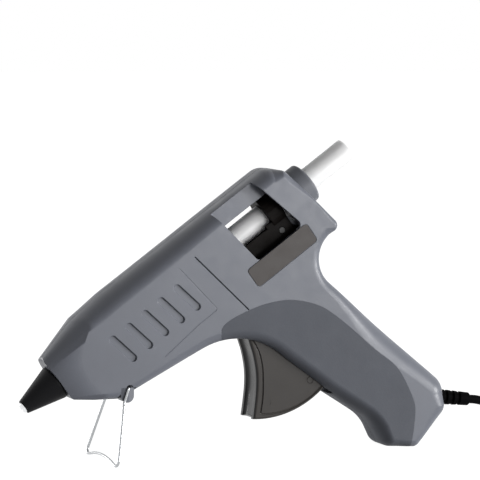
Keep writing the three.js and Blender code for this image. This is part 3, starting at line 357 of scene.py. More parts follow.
def ramp(tree, value, low, high, start=0.3, end=0.7):
    """The value's range from start to end, spread from low to high."""
    values = {"From Min": start, "From Max": end, "To Min": low, "To Max": high}
    node = with_inputs(tree.nodes.new("ShaderNodeMapRange"), values)
    tree.links.new(value, node.inputs["Value"])
    return node.outputs["Result"]


def computed(tree, operation, first, second):
    node = tree.nodes.new("ShaderNodeMath")
    node.operation = operation
    tree.links.new(first, node.inputs[0])
    tree.links.new(second, node.inputs[1])
    return node.outputs[0]


def streaks(tree, where, depth):
    """Fine scratches drawn out along the barrel."""
    values = {"Rotation": (0, -TILT, 0), "Scale": (0.08, 1, 1)}
    mapping = with_inputs(tree.nodes.new("ShaderNodeMapping"), values)
    tree.links.new(where, mapping.inputs["Vector"])
    return ramp(tree, noise(tree, mapping.outputs["Vector"], 900, 4.0), 0, depth, 0.55, 0.75)


def surface(tree, height, bump, edge):
    """The normal of a surface with fine relief and softened edges, both in mm."""
    relief = with_inputs(tree.nodes.new("ShaderNodeBump"), {"Strength": 1.0, "Distance": bump * 1e-3})
    tree.links.new(height, relief.inputs["Height"])
    if edge:
        bevel = tree.nodes.new("ShaderNodeBevel")
        bevel.samples = 4
        bevel.inputs["Radius"].default_value = edge * 1e-3
        tree.links.new(bevel.outputs["Normal"], relief.inputs["Normal"])
    return relief.outputs["Normal"]


def make_material(
    name, colour, roughness, metallic=0.0, specular=0.5, variation=0.05, cloud=45.0, grain=2600.0, bump=0.05,
    edge=0.0, speckle=0.0, scratches=0.0, milky=0.0,
):
    """Cloud and grain are scales per metre, bump and edge are in mm, and milky is a depth in metres."""
    material = bpy.data.materials.new(name)
    material.use_nodes = True
    tree = material.node_tree
    values = {"Metallic": metallic, "Specular IOR Level": specular}
    if milky:
        values |= {"Subsurface Weight": 1, "Subsurface Radius": (1, 1, 1), "Subsurface Scale": milky}
    shader = with_inputs(tree.nodes["Principled BSDF"], values)
    where = tree.nodes.new("ShaderNodeTexCoord").outputs["Object"]
    fine = noise(tree, where, grain, 2.0)
    tone = ramp(tree, noise(tree, where, cloud), 1 - variation, 1 + variation)
    if speckle:
        tone = computed(tree, "ADD", tone, ramp(tree, fine, -speckle, speckle))
    shade = tree.nodes.new("ShaderNodeVectorMath")
    shade.operation = "SCALE"
    shade.inputs[0].default_value = colour
    tree.links.new(tone, shade.inputs["Scale"])
    tree.links.new(shade.outputs["Vector"], shader.inputs["Base Color"])
    swing = 0.06
    rough = ramp(tree, noise(tree, where, cloud * 4), roughness - swing, roughness + swing)
    if scratches:
        rough = computed(tree, "ADD", rough, streaks(tree, where, scratches))
    tree.links.new(rough, shader.inputs["Roughness"])
    tree.links.new(surface(tree, fine, bump, edge), shader.inputs["Normal"])
    return material


def make_metal(name, colour, roughness, grain=1500, bump=0.02, scratches=0.2):
    return make_material(name, colour, roughness, metallic=1, grain=grain, bump=bump, scratches=scratches)


HOUSING = make_material(
    "housing_grey", (0.138, 0.147, 0.174), 0.38, specular=0.42, bump=0.02, edge=0.35, speckle=0.02,
)
GRIP = make_material(
    "grip_grey", (0.095, 0.101, 0.118), 0.62, specular=0.2, grain=1700, bump=0.035, edge=0.35, speckle=0.03,
)
COLLAR_GREY = make_material(
    "collar_grey", (0.15, 0.157, 0.176), 0.45, specular=0.25, bump=0.02, speckle=0.02,
)
BLACK = make_material("black_plastic", (0.014, 0.014, 0.0155), 0.5, specular=0.1, grain=1500, bump=0.015)
# The carriage's own black, made darker and without sheen as painted shade for the dark inside of the window.
CARRIAGE_BLACK_AND_SHADE = make_material(
    "carriage_black_and_shade", (0.005, 0.004, 0.0035), 0.45, specular=0.04, grain=1200, bump=0.02,
)
TRIGGER = make_material(
    "trigger_plastic", (0.042, 0.038, 0.035), 0.34, specular=0.2, grain=900, bump=0.01, scratches=0.15,
)
# The front's darker colour is partly painted shade: it stands in for the dark reflection along the scooped
# front.
TRIGGER_FACE_AND_SHADE = make_material(
    "trigger_face_and_shade", (0.014, 0.014, 0.015), 0.16, specular=0.25, grain=900, bump=0.006, scratches=0.1,
)
RUBBER = make_material("black_rubber", (0.003, 0.003, 0.0033), 0.6, specular=0.015, grain=1900, bump=0.03)
BOOT_RUBBER = make_material("boot_rubber", (0.006, 0.006, 0.007), 0.5, specular=0.1, grain=1900, bump=0.03)
CORD_SKIN = make_material("cord_skin", (0.003, 0.003, 0.0033), 0.6, specular=0.02, grain=1500, bump=0.02)
STEEL = make_metal("bright_steel", (0.74, 0.75, 0.76), 0.18, grain=2500, bump=0.008)
WIRE = make_metal("wire_steel", (0.4, 0.41, 0.42), 0.22, grain=2500, bump=0.008)
ZINC = make_metal("zinc_steel", (0.55, 0.56, 0.58), 0.33)
DARK_STEEL = make_metal("blackened_steel", (0.03, 0.03, 0.03), 0.5)
ALLOY = make_metal("cast_alloy", (0.58, 0.59, 0.6), 0.45, grain=900, bump=0.08, scratches=0)
BRASS = make_metal("plug_brass", (0.6, 0.45, 0.22), 0.25)
CERAMIC = make_material("heater_wrap", (0.32, 0.13, 0.05), 0.5, grain=700)
SILICONE = make_material("sleeve_silicone", (0.45, 0.06, 0.03), 0.6, specular=0.3, grain=800)
GLUE = make_material(
    "glue", (0.955, 0.965, 0.98), 0.35, specular=0.4, variation=0.015, cloud=160, grain=600, bump=0.03,
    milky=0.005,
)
PLATE = make_material(
    "plate_film", (0.062, 0.055, 0.052), 0.42, specular=0.22, variation=0.06, grain=1200, bump=0.01,
)
BLUE = make_material("blue_lead", (0.03, 0.1, 0.4), 0.4, grain=1500, bump=0.02)
BROWN = make_material("brown_lead", (0.18, 0.07, 0.03), 0.4, grain=1500, bump=0.02)

# The body's outline: along, up, fillet, edge inset and edge across, as shares of the body's sizes
CORNERS = {
    "noseBottom": (0, -0.0689, 0.067, 0.05, 0.067),
    "chin": (0.1133, -0.1646, 0.27, 0.13, 0.13),
    "triggerHollow": (0.57, -0.2426, 1.27, 0.17, 0.17),
    "gripSwell": (0.6627, -0.6188, 1, 0.2, 0.33),
    "fingerHollow": (0.7306, -0.8193, 0.83, 0.2, 0.4),
    "toe": (0.7187, 0, 0.2, 0.17, 0.33),
    "heel": (0.799, -1, 0.13, 0.12, 0.12),
    "heelRise": (0.9471, -0.9655, 0.23, 0.2, 0.2),
    "cordCorner": (0.9956, -0.8896, 0.37, 0.3, 0.3),
    "gripBack": (0.9306, -0.5942, 0, 0.4, 0.37),
    "thumbWeb": (0.8407, -0.1941, 0.53, 0.17, 0.17),
    "tail": (1, -0.1772, 0.117, 0.08, 0.1),
    "rearFace": (0.977, -0.0478, 0, 0.05, 0.06),
    "rearTop": (0.9521, 0.6869, 0.17, 0.13, 0.17),
    "topRear": (0.9116, 0.9626, 0.27, 0.23, 0.37),
    "topFront": (0.2645, 1, 2.67, 0.283, 0.47),
    "brow": (0.1027, 0.9019, 1, 0.23, 0.43),
    "noseTop": (0, 0.6449, 0.083, 0.067, 0.27),
}


def corner_sizes():
    """Each corner's point, fillet, inset and spread in mm. The toe stands on the floor."""
    rows = []
    for name, (along, up, *edge) in CORNERS.items():
        s, h = place((along, up))
        if name == "toe":
            h = (FLOOR - s * SIN) / COS
        rows.append((np.array((s, h)), *[share * WIDTH for share in edge]))
    return rows


def corner_rows(inward):
    """Rows of s, h, outward s, outward h, inset and spread: one at a sharp corner, more round a fillet."""
    corners, rows = corner_sizes(), []
    least, turn_step = WALL / 4, math.radians(5)
    for i, (at, fillet, inset, spread) in enumerate(corners):
        arrive = unit(at - corners[i - 1][0])
        leave = unit(corners[(i + 1) % len(corners)][0] - at)
        turn = math.atan2(arrive[0] * leave[1] - arrive[1] * leave[0], float(arrive @ leave))
        side = math.copysign(1, turn)
        outwards = unit(np.array((arrive[1] + leave[1], -arrive[0] - leave[0])))
        moved = at - outwards * inward / math.cos(turn / 2)
        square = np.array((arrive[1], -arrive[0]))
        inset, spread = max(inset - inward, least), max(spread - inward, least)
        if not fillet:
            rows.append((*moved, *swung(square, turn / 2), inset, spread))
            continue
        fillet = max(fillet - side * inward, least)
        centre = moved - arrive * fillet * math.tan(abs(turn) / 2) - square * side * fillet
        steps = max(2, math.ceil(abs(turn) / turn_step))
        for k in range(steps + 1):
            out = swung(square, turn * k / steps)
            rows.append((*(centre + out * side * fillet), *out, inset, spread))
    return rows


def body_outline(inward):
    """The corners' rows, with the straight runs between them in fine steps."""
    run_step = 3.5
    rows, fine = corner_rows(inward), []
    for a, b in zip(rows, rows[1:] + rows[:1]):
        a, b = np.array(a), np.array(b)
        fine.append(a)
        count = int(np.linalg.norm(b[:2] - a[:2]) / run_step)
        for k in range(1, count):
            t = k / count
            row = a + (b - a) * ease(t)
            row[:2] = a[:2] + (b[:2] - a[:2]) * t
            row[2:4] /= np.linalg.norm(row[2:4])
            fine.append(row)
    return fine


def half_slab(outline, half, low, layers):
    """Half of a slab with elliptical edges, from y = low out to y = half."""
    points = [(r[0], low, r[1]) for r in outline]
    for k in range(layers + 1):
        t = k / layers * math.pi / 2
        for s, h, out_s, out_h, inset, spread in outline:
            inwards = -inset * (1 - math.cos(t))
            reach = half - min(spread, half - SEAM) * (1 - math.sin(t))
            points.append((s + out_s * inwards, reach, h + out_h * inwards))
    return lofted(points, len(outline))


def nose_cone(inward):
    """What lies outside the nose's cone, whose section is an ellipse with slightly full corners."""
    before, beyond, sides, fullness = 3.0, 50.0, 160, 2.5
    points = []
    for run in (-before, beyond):
        width = 9.7 + 0.44 * run - inward
        height = 16.7 + 0.6 * run - inward
        centre = -2.7 - 0.344 * run
        for i in range(sides):
            t = 2 * math.pi * i / sides
            c, d = math.cos(t), math.sin(t)
            fuller = (abs(c) ** fullness + abs(d) ** fullness) ** (-1 / fullness)
            points.append((NOSE_FACE + run, width * c * fuller, centre + height * d * fuller))
    length = NOSE_FACE - before / 2, NOSE_FACE + beyond - before / 2
    return cut(block(length, (-WIDTH, WIDTH), (-DROP / 3, 2 * RISE)), lofted(points, sides))


# Places along the barrel, as shares of the body's length
AT = {name: NOSE_FACE + share * LENGTH for name, share in {
    "chamberFront": 0.0417, "stickFront": 0.252, "railFront": 0.725, "carriageRear": 0.8805,
    "collarFront": 0.9017, "railRear": 0.9054, "collarSeat": 0.9203, "collarRim": 1.0261, "stickRear": 1.1786,
}.items()}
NOZZLE_END = AT["chamberFront"] - GAP
BOOT_NECK, BOOT_LIP, RELIEF_NECK, RELIEF_LIP, LIP_WIDTH = 8.3, 9.3, 3.4, 5.0, 1.8
STICK_RADIUS, COLLAR_RADIUS, FLANGE_WIDTH = 6.0, 10.6, 2
CORD_RADIUS, WIRE_RADIUS = 2.25, 0.75

# The trigger: its pivot, its reach, where its front goes in shares of that, and the arms behind the pivot
PIVOT, PIVOT_BORE = place((0.6502, -0.2532)), 2.3
REACH, TRIGGER_TURN, TRIGGER_HALF, TRIGGER_HUB = 56.0, 42, INNER - 3.3, 7
TRIGGER_FRONT = [
    (-0.241, -0.036), (-0.282, -0.155), (-0.316, -0.259), (-0.384, -0.402), (-0.464, -0.518),
    (-0.571, -0.639),
]
ARM_LENGTH, ARM_LEAN = 22, math.radians(12.5)
LINK_PIN = PIVOT[0] + ARM_LENGTH * math.sin(ARM_LEAN), PIVOT[1] + ARM_LENGTH * math.cos(ARM_LEAN)

# The strain relief stands square on the grip's low rear edge and hangs by a few degrees
HEEL_RISE, CORD_CORNER = (np.array(place(CORNERS[name][:2])) for name in ("heelRise", "cordCorner"))
REAR_EDGE = HEEL_RISE - CORD_CORNER
RELIEF_AT, RELIEF_LENGTH = CORD_CORNER + REAR_EDGE * 0.6, 18.4
RELIEF_WAY = swung(unit(np.array((-REAR_EDGE[1], REAR_EDGE[0]))), -math.radians(7))
RELIEF_LEAN = math.atan2(RELIEF_WAY[1], RELIEF_WAY[0])
RELIEF_MATRIX = Matrix.Translation((RELIEF_AT[0], 0, RELIEF_AT[1])) @ Matrix.Rotation(-RELIEF_LEAN, 4, "Y")


def at_relief(mesh):
    mesh.transform(RELIEF_MATRIX)
    return mesh


# The free cord, along the same points as the solids: x past its start, y across and z above the floor
CORD_ROUTE = [
    (14, 0, 17.6), (24, -2.4, 14.2), (34, -8.2, 9.8), (44, -15, 5.6), (54, -20.6, 2.9), (63, -22.6, 2.27),
    (70, -22.6, 2.25),
]
# The coil: in on the floor and out one layer up, then a turn in and a straight end to the plug above it
COIL_RADIUS, COIL_PITCH, COIL_LAYER, COIL_TURNS, COIL_STEPS = 34.6, 5.0, 5.0, 6.25, 72
COIL_STRAIGHT, COIL_TURN_IN, PLUG_THICKNESS = 4.6, 15.0, 13.7


def cord_stretch():
    """From the relief to the floor."""
    x, z = level(*(RELIEF_AT + RELIEF_WAY * (RELIEF_LENGTH + GAP)))
    lean = np.array((COS * RELIEF_WAY[0] - SIN * RELIEF_WAY[1], 0, SIN * RELIEF_WAY[0] + COS * RELIEF_WAY[1]))
    start = np.array((x, 0, z))
    route = [np.array((x + along, y, up)) for along, y, up in CORD_ROUTE]
    return [start, start + lean * 2 * CORD_RADIUS] + route


def cord_coil(x, y):
    """The coil round this centre and the turn in that follows it."""
    count = round(COIL_TURNS * COIL_STEPS)
    half, quarter = count / 2, COIL_STEPS // 4
    ring_share = COIL_RADIUS / (COIL_RADIUS + COIL_TURN_IN)
    plug_rise = CORD_RADIUS + GAP + PLUG_THICKNESS / 2
    coil = []
    for i in range(count + 1):
        turn = i / COIL_STEPS * 2 * math.pi - math.pi / 2
        radius = COIL_RADIUS - COIL_PITCH * (half - abs(i - half)) / COIL_STEPS
        climb = COIL_LAYER * ease((i - half) / (COIL_STEPS / 2) + 0.5)
        rise = plug_rise * ease(ring_share * ((i - count) / quarter + 1))
        height = CORD_RADIUS + climb + rise
        coil.append(np.array((x + radius * math.cos(turn), y + radius * math.sin(turn), height)))
    for i in range(1, quarter + 1):
        turn = i / quarter * math.pi / 2
        rise = plug_rise * ease(ring_share + (1 - ring_share) * i / quarter)
        height = CORD_RADIUS + COIL_LAYER + rise
        along = COIL_RADIUS - COIL_TURN_IN * (1 - math.cos(turn))
        coil.append(np.array((x + along, y + COIL_TURN_IN * math.sin(turn), height)))
    return coil


def cord_line():
    stretch = cord_stretch()
    coil = cord_coil(stretch[-1][0] + GAP + COIL_STRAIGHT, stretch[-1][1] + COIL_RADIUS)
    tail = [coil[-1] - np.array((COIL_STRAIGHT * k / 2, 0, 0)) for k in (1, 2)]
    return smooth_line(stretch, 8) + coil + tail


CORD_LINE = cord_line()
cord = piece(
    "cord", tube(CORD_LINE, CORD_RADIUS, 20), LEVEL, "housing", CORD_SKIN, ("power_cord", "cord_coil"),
)

# The plug, drawn along +Y from the cord's end, and its two pins
PLUG_AT = CORD_LINE[-1]
PLUG_WIDTH, PLUG_LENGTH, PLUG_NECK = 35, 35, 9
PIN_OFFSET, PIN_RADIUS, PIN_LENGTH = 9.5, 2, 19


def plug_body():
    """The body, whose faces are rounded off all round."""
    shape = [(0.28, 0), (0.34, 0.16), (0.5, 0.42), (0.5, 1)]
    side = [(a * PLUG_WIDTH, PLUG_NECK + b * (PLUG_LENGTH - PLUG_NECK)) for a, b in shape]
    outline = rounded(side + [(-x, y) for x, y in reversed(side)] + [side[0]], 4, 8)[:-1]
    middle, edge, layers = np.array((0, PLUG_LENGTH - 13.0)), 2.3, 8
    points = []
    for k in range(2 * layers + 1):
        t = (k / layers - 1) * math.pi / 2
        inset = edge * (1 - math.cos(t))
        z = math.sin(t) * PLUG_THICKNESS / 2
        for x, y in outline:
            way = unit(middle - (x, y))
            points.append((x + way[0] * inset, y + way[1] * inset, z))
    return lofted(points, len(outline))


def plug():
    """The body with finger grips on both sides and a stepped neck."""
    body = plug_body()
    for side in (-1, 1):
        x = side * (PLUG_WIDTH / 2 + 0.1)
        for y in (18, 21, 24, 27):
            body = cut(body, tube([(x, y, -5), (x, y, 5)], 0.7, 12))
    neck = [
        (0, 0), (0, 3.6), (3, 3.9), (3.4, 3.3), (4.4, 3.3), (4.8, 4.3), (7.4, 4.7), (7.8, 4.0), (8.8, 4.0),
        (9.2, 5.0), (13.6, 5.4), (13.6, 0),
    ]
    stem = turned(rounded(neck, 0.35, 3), 48)
    stem.transform(Matrix.Rotation(math.pi / 2, 4, "Z"))
    body = join(body, stem)
    at = Matrix.Translation((PLUG_AT[0] - GAP, PLUG_AT[1], PLUG_AT[2]))
    body.transform(at @ Matrix.Rotation(math.pi / 2, 4, "Z"))
    return body


def plug_pin(side):
    """A pin with a coned end, pointing to -X."""
    x = PLUG_AT[0] - 2 * GAP - PLUG_LENGTH
    cone, end = x - PIN_LENGTH + 1.2, x - PIN_LENGTH
    pin = turned(rounded([(x, 0), (x, PIN_RADIUS), (cone, PIN_RADIUS), (end, 1.1), (end, 0)], 0.3, 4), 40)
    pin.transform(Matrix.Translation((0, PLUG_AT[1] + side * PIN_OFFSET, PLUG_AT[2])))
    return pin


plug_piece = piece("plug", plug(), LEVEL, "housing", BLACK, ("plug_body",))
for number, side in ((1, -1), (2, 1)):
    replaced = (f"plug_pin_{number}",)
    piece(f"plug_pin_{number}_metal", plug_pin(side), LEVEL, "housing", BRASS, replaced)

# The two shells: screws, window, vents, groove, crease, and the pocket with the stand's lug
SCREWS = [place(p) for p in (
    (0.252, -0.1428), (0.2396, 0.6916), (0.5632, 0.6916), (0.9515, -0.1406), (0.8307, -0.3868),
    (0.781, -0.872),
)]
SCREW_BOSS, SCREW_HEAD, SCREW_SHANK, SCREW_DEPTH = 3.4, 3.1, 1.7, 4.5
WINDOW = [place(p) for p in ((0.6789, 1.1), (0.7157, -0.09), (0.8987, -0.0885), (0.8394, 1.1))]
WINDOW_WALL = 8.6
VENT_COUNT, VENT_FIRST, VENT_STEP = 5, 0.2016, 0.0635
VENT_TOP, VENT_LENGTH, VENT_LEAN = 2.9, 14, math.radians(12)
VENT_FLOOR, VENT_RIM, VENT_DEPTH, VENT_CHAMFER = 1.7, 2.0, 1.1, 0.35
GROOVE = place((0.5569, 0.444)), place((0.601, -0.201))
GROOVE_FLOOR, GROOVE_RIM, GROOVE_DEPTH, GROOVE_CHAMFER = 0.22, 0.42, 0.9, 0.25
CREASE = [(101.2, 10.3), (103.3, -4.2), (105.4, -18.4), (93.1, -18.5), (70.0, -20.5)]
POCKET = [(46.7, -20.0), (39.2, -21.9), (35.5, -28.0), (49.0, -34.0), (49.1, -26.9), (48.3, -20.9)]
POCKET_DEPTH, LUG_DEPTH, LUG_RADIUS = 2.1, 1.5, 3.4
LUG_AT, STAND_PIVOT = place((0.1494, -0.1582)), place((0.1581, -0.1498))
LUG_ENDS = (45.9, -21.8), (43.94, -24.52)
PLATE_AT, PLATE_LENGTH, PLATE_HEIGHT, PLATE_SUNK = place((0.7878, -0.1245)), 38.5, 10.5, 0.25


def trigger_arc(reach, start, end, steps=24, slack=0.0):
    """Points about the trigger's pivot from one angle to the other. The slack draws the arc's rear in."""
    points = []
    for i in range(steps + 1):
        t = start + (end - start) * i / steps
        r = reach - slack * (1 - t / start) ** 1.4
        angle = math.radians(t)
        points.append((PIVOT[0] - r * math.sin(angle), PIVOT[1] - r * math.cos(angle)))
    return points


def sloped_pocket(floor, rim, depth, chamfer):
    """What a recess with chamfered rims takes off the +Y face."""
    rows = (floor, HALF - depth), (floor, HALF - chamfer), (rim, HALF), (rim, CLEAR)
    return lofted([(s, y, h) for outline, y in rows for s, h in outline], len(floor))


def plate_outline(margin, corner):
    s, h = PLATE_AT
    a, b = PLATE_LENGTH / 2 + margin, PLATE_HEIGHT / 2 + margin
    corners = [(s - a, h - b), (s + a, h - b), (s + a, h + b), (s - a, h + b), (s - a, h - b)]
    return rounded(corners, corner, 8)[:-1]


def ribs(far):
    """The wall behind the window's top, the collar's seat, the carriage's rail and the bosses."""
    top = HALF if far else INNER + WALL / 2
    seat, seat_end = AT["collarSeat"], AT["collarSeat"] + FLANGE_WIDTH
    around = block((seat - WALL, seat_end + WALL), (SEAM / 2, HALF), (-INNER + GAP - WALL, RISE))
    behind = WINDOW[0][0] - WALL, WINDOW[2][0] - WALL
    return [
        block(behind, (WINDOW_WALL - 1.8, WINDOW_WALL), (RISE - 10.6, RISE)),
        cut(around, rod(seat - GAP, seat_end + GAP, INNER)),
        block((AT["railFront"], AT["railRear"]), (6.9, HALF), (-15.5, -14)),
        across(PIVOT, 4.8, TRIGGER_HALF + GAP, INNER + WALL / 2),
        *[across(at, SCREW_BOSS, SEAM / 2, top) for at in SCREWS],
    ]


def opened(made):
    """With its half of the window and of the trigger's slot."""
    window = [tuple(p) for p in softened(WINDOW, 3, 12)]
    slot = [PIVOT] + [(PIVOT[0] + a * REACH - RUN, PIVOT[1] + b * REACH) for a, b in TRIGGER_FRONT]
    slot += trigger_arc(REACH + RUN, TRIGGER_TURN, -40)
    return cut(made, prism(window, WINDOW_WALL, CLEAR), prism(slot, -3, TRIGGER_HALF + RUN))


def vented(made):
    """With the leaning slots."""
    for i in range(VENT_COUNT):
        s, h = NOSE_FACE + (VENT_FIRST + i * VENT_STEP) * LENGTH, VENT_TOP
        ends = (s, h), (s + VENT_LENGTH * math.sin(VENT_LEAN), h - VENT_LENGTH * math.cos(VENT_LEAN))
        floor, rim = capsule(*ends, VENT_FLOOR, steps=20), capsule(*ends, VENT_RIM, steps=20)
        made = cut(made, sloped_pocket(floor, rim, VENT_DEPTH, VENT_CHAMFER))
    return made


def grooved(made):
    """With the long groove and the thin crease before it."""
    floor, rim = capsule(*GROOVE, GROOVE_FLOOR), capsule(*GROOVE, GROOVE_RIM)
    made = cut(made, sloped_pocket(floor, rim, GROOVE_DEPTH, GROOVE_CHAMFER))
    crease = [(s, HALF + 0.12, h) for s, h in softened(CREASE, 1.0, 5)]
    return cut(made, tube(crease, 0.24, 8))


def lug_facets():
    """What slopes the lug's face off on both sides of a ridge."""
    s, h = LUG_AT
    side = (0.6, HALF - LUG_DEPTH), (0.6, HALF), (4, HALF), (4, HALF - POCKET_DEPTH)
    at = Matrix.Translation((s, 0, h)) @ Matrix.Rotation(TILT, 4, "Y")
    wedges = []
    for sign in (-1, 1):
        wedge = lofted([(sign * x, y, z) for z in (-7, 1.5) for x, y in side], len(side))
        wedge.transform(at)
        wedges.append(wedge)
    return wedges


def lugged(made):
    """With the stand's lug in its pocket."""
    made = cut(made, prism(POCKET, HALF - POCKET_DEPTH, CLEAR))
    lug = capsule(*LUG_ENDS, LUG_RADIUS, steps=24)
    made = join(made, prism(lug, 5, HALF - LUG_DEPTH))
    return cut(made, *lug_facets())


def bored(made):
    """With the bores and grooves that hold the boot, collar, trigger pin, stand and relief."""
    groove = LIP_WIDTH + 2 * GAP
    return cut(
        made,
        rod(0, NOSE_FACE + 2 * WALL, BOOT_NECK + GAP),
        rod(NOSE_FACE + WALL, NOSE_FACE + WALL + groove, BOOT_LIP + GAP),
        rod(AT["collarFront"] - 3, AT["collarRim"], COLLAR_RADIUS + GAP),
        across(PIVOT, PIVOT_BORE, 0, INNER),
        across(STAND_PIVOT, WIRE_RADIUS + GAP, 5.3, HALF, 32),
        at_relief(rod(-3 * WALL, 3, RELIEF_NECK + GAP, 48)),
        at_relief(rod(-WALL - GAP - groove, -WALL - GAP, RELIEF_LIP + GAP, 48)),
    )


def shell(far):
    """One shell, drawn on the +Y side. The far one has the screw holes, the near one the plate's recess."""
    skin = cut(half_slab(body_outline(0), HALF, SEAM / 2, 14), nose_cone(0))
    hollow = cut(half_slab(body_outline(WALL), INNER, -3, 6), nose_cone(1.2))
    made = join(cut(skin, hollow), *[meet(rib, skin) for rib in ribs(far)])
    for detail in (opened, vented, grooved, lugged, bored):
        made = detail(made)
    if not far:
        return mirrored(cut(made, prism(plate_outline(GAP, 2.2), HALF - PLATE_SUNK, CLEAR)))
    for at in SCREWS:
        head = across(at, SCREW_HEAD, HALF - SCREW_DEPTH, CLEAR)
        made = cut(made, head, across(at, SCREW_SHANK, -3, CLEAR, 24))
    return made


def paint_pocket_shade(made):
    """The floor and walls of the pocket beside the lug are painted black as painted shade."""
    made.data.materials.append(BLACK)
    back, deepest, margin, around = GUN.inverted(), HALF - POCKET_DEPTH, 0.02, 11
    for polygon in made.data.polygons:
        s, y, h = back @ polygon.center
        near = math.hypot(s - LUG_AT[0], h - LUG_AT[1]) < around
        inside = deepest - margin < abs(y) < HALF - 0.2
        floor = abs(y) < deepest + margin
        wall = abs(polygon.normal.y) < 0.5
        if near and inside and (floor or wall):
            polygon.material_index = 1


# The darker grip panel: what lies below and in front of this line
PANEL_EDGE = smooth_line([
    (99.2, -30.5), (101.6, -27.6), (106.0, -26.9), (118.6, -29.2), (129.0, -32.9), (139.6, -39.3),
    (149.3, -50.6), (153.0, -59.3), (155.9, -69.2), (160.2, -86.7), (164.3, -101.0), (164.0, -110.0),
    (162.8, -117.0), (160.8, -124.0), (154.1, -132.4), (147.5, -139.5), (143.0, -150.0),
], 5)
PANEL = [tuple(p) for p in PANEL_EDGE] + [(60.0, -160.0), (98.0, -60.0), (98.4, -33.5)]


def make_shell(name, side):
    """The two pieces of one shell, the grip panel and the barrel."""
    whole = shell(side > 0)
    panel = prism(PANEL, *sorted((side * 0.05, side * 20)))
    grip, rest = meet(whole.copy(), panel.copy()), cut(whole, panel)
    piece(name + "_grip", grip, GUN, "housing", GRIP, (name,))
    # The barrel's pocket beside the lug is painted black as painted shade.
    paint_pocket_shade(piece(name + "_barrel", rest, GUN, "housing", HOUSING, (name,)))


make_shell("left_shell", -1)
make_shell("right_shell", 1)


# Collar, stick, nozzle and boot, all turned about the barrel axis
def collar():
    """A rounded tube that opens towards its rim, and the flange that the shells hold."""
    front, rim, bore = AT["collarFront"], AT["collarRim"] - 2.5, 6.35
    seat, seat_end = AT["collarSeat"], AT["collarSeat"] + FLANGE_WIDTH
    profile = [
        (front, bore), (front, COLLAR_RADIUS), (rim, COLLAR_RADIUS), (rim, 6.7), (rim - 6, bore),
        (front, bore),
    ]
    flange = [(seat, 7), (seat, INNER - GAP), (seat_end, INNER - GAP), (seat_end, 7), (seat, 7)]
    return join(turned(rounded(profile, 1.8, 8)), turned(flange))


def stick():
    """A rod with a shallow dish in its rear end."""
    front, rear = AT["stickFront"], AT["stickRear"] - 0.6
    profile = [(front, 0), (front, STICK_RADIUS), (rear, STICK_RADIUS), (rear, 4.6), (rear - 0.5, 0)]
    return turned(rounded(profile, 0.5, 5))


def nozzle():
    """A cone with a bore, and the neck that goes into the melt chamber."""
    bore, neck = 0.9, 4.7
    return turned(rounded([
        (0.0, bore), (0.0, 2.1), (0.5, 2.7), (1.6, 2.7), (NOZZLE_END - 6, 6.0), (NOZZLE_END, 6.0),
        (NOZZLE_END, neck), (NOZZLE_END + 9, neck), (NOZZLE_END + 9, bore), (0.0, bore),
    ], 0.35, 5))


def boot():
    """A hollow cone over the nozzle, with a neck and a lip in the shells' front bore."""
    face, inside = NOSE_FACE - GAP, NOSE_FACE + WALL + GAP
    return turned(rounded([
        (2.9, 3.0), (1.3, 3.0), (1.3, 3.6), (NOSE_FACE - 1.2, 8.9), (face, 8.9), (face, BOOT_NECK),
        (inside, BOOT_NECK), (inside, BOOT_LIP), (inside + LIP_WIDTH, BOOT_LIP), (inside + LIP_WIDTH, 6.6),
        (NOZZLE_END - 6, 6.6), (2.9, 3.0),
    ], 0.5, 5))


STICK_RAISED = GUN @ Matrix.Translation((0, 0, 0.2))
piece("collar", collar(), GUN, "housing", COLLAR_GREY, ("stick_collar",))
piece("stick", stick(), STICK_RAISED, "stick", GLUE, ("glue_stick",))
piece("nozzle", nozzle(), GUN, "housing", STEEL, ("nozzle_tip",))
piece("boot", boot(), GUN, "housing", BOOT_RUBBER, ("nozzle_boot",))


# Trigger: a sector with rounded edges, a scooped front between two rims, and grooves on its sides
def trigger_outline():
    """The outline, and how many of its points are its front."""
    start = [(PIVOT[0] + a * REACH, PIVOT[1] + b * REACH) for a, b in TRIGGER_FRONT]
    arc = trigger_arc(REACH - 1.3, TRIGGER_TURN, -14, 28, 2.9)
    front = [tuple(p) for p in smooth_line(start + [arc[0]], 6)]
    hub = [(PIVOT[0] + TRIGGER_HUB, PIVOT[1] - TRIGGER_HUB), (PIVOT[0] + TRIGGER_HUB, PIVOT[1])]
    return np.array(front[:-1] + arc + hub), len(front)


def trigger_rows():
    """From side to side: y, how far the whole edge is drawn in and how deep the front is scooped."""
    edge, rim, scoop = 1.3, 2.0, 1.5
    inner = TRIGGER_HALF - edge - rim
    rows = []
    for k in range(9):
        t = k / 8 * math.pi / 2
        rows.append((TRIGGER_HALF - edge * (1 - math.cos(t)), edge * (1 - math.sin(t)), 0.0))
    for k in range(1, 4):
        rows.append((TRIGGER_HALF - edge - rim * k / 3, 0.0, 0.0))
    sides = rows[:-1]
    for k in range(1, 17):
        y = inner * (1 - k / 8)
        rows.append((y, 0.0, scoop * (1 - (y / inner) ** 4)))
    return rows + [(-y, inset, 0.0) for y, inset, _ in reversed(sides)]


def trigger_body():
    ring, fronts = trigger_outline()
    way = unit(ring - np.roll(ring, 1, 0)) + unit(np.roll(ring, -1, 0) - ring)
    inward = unit(np.stack((-way[:, 1], way[:, 0]), 1))
    points = []
    for y, inset, scoop in trigger_rows():
        for i, at in enumerate(ring):
            s, h = at + inward[i] * (inset + (scoop if i < fronts else 0))
            points.append((s, y, h))
    return lofted(points, len(ring))


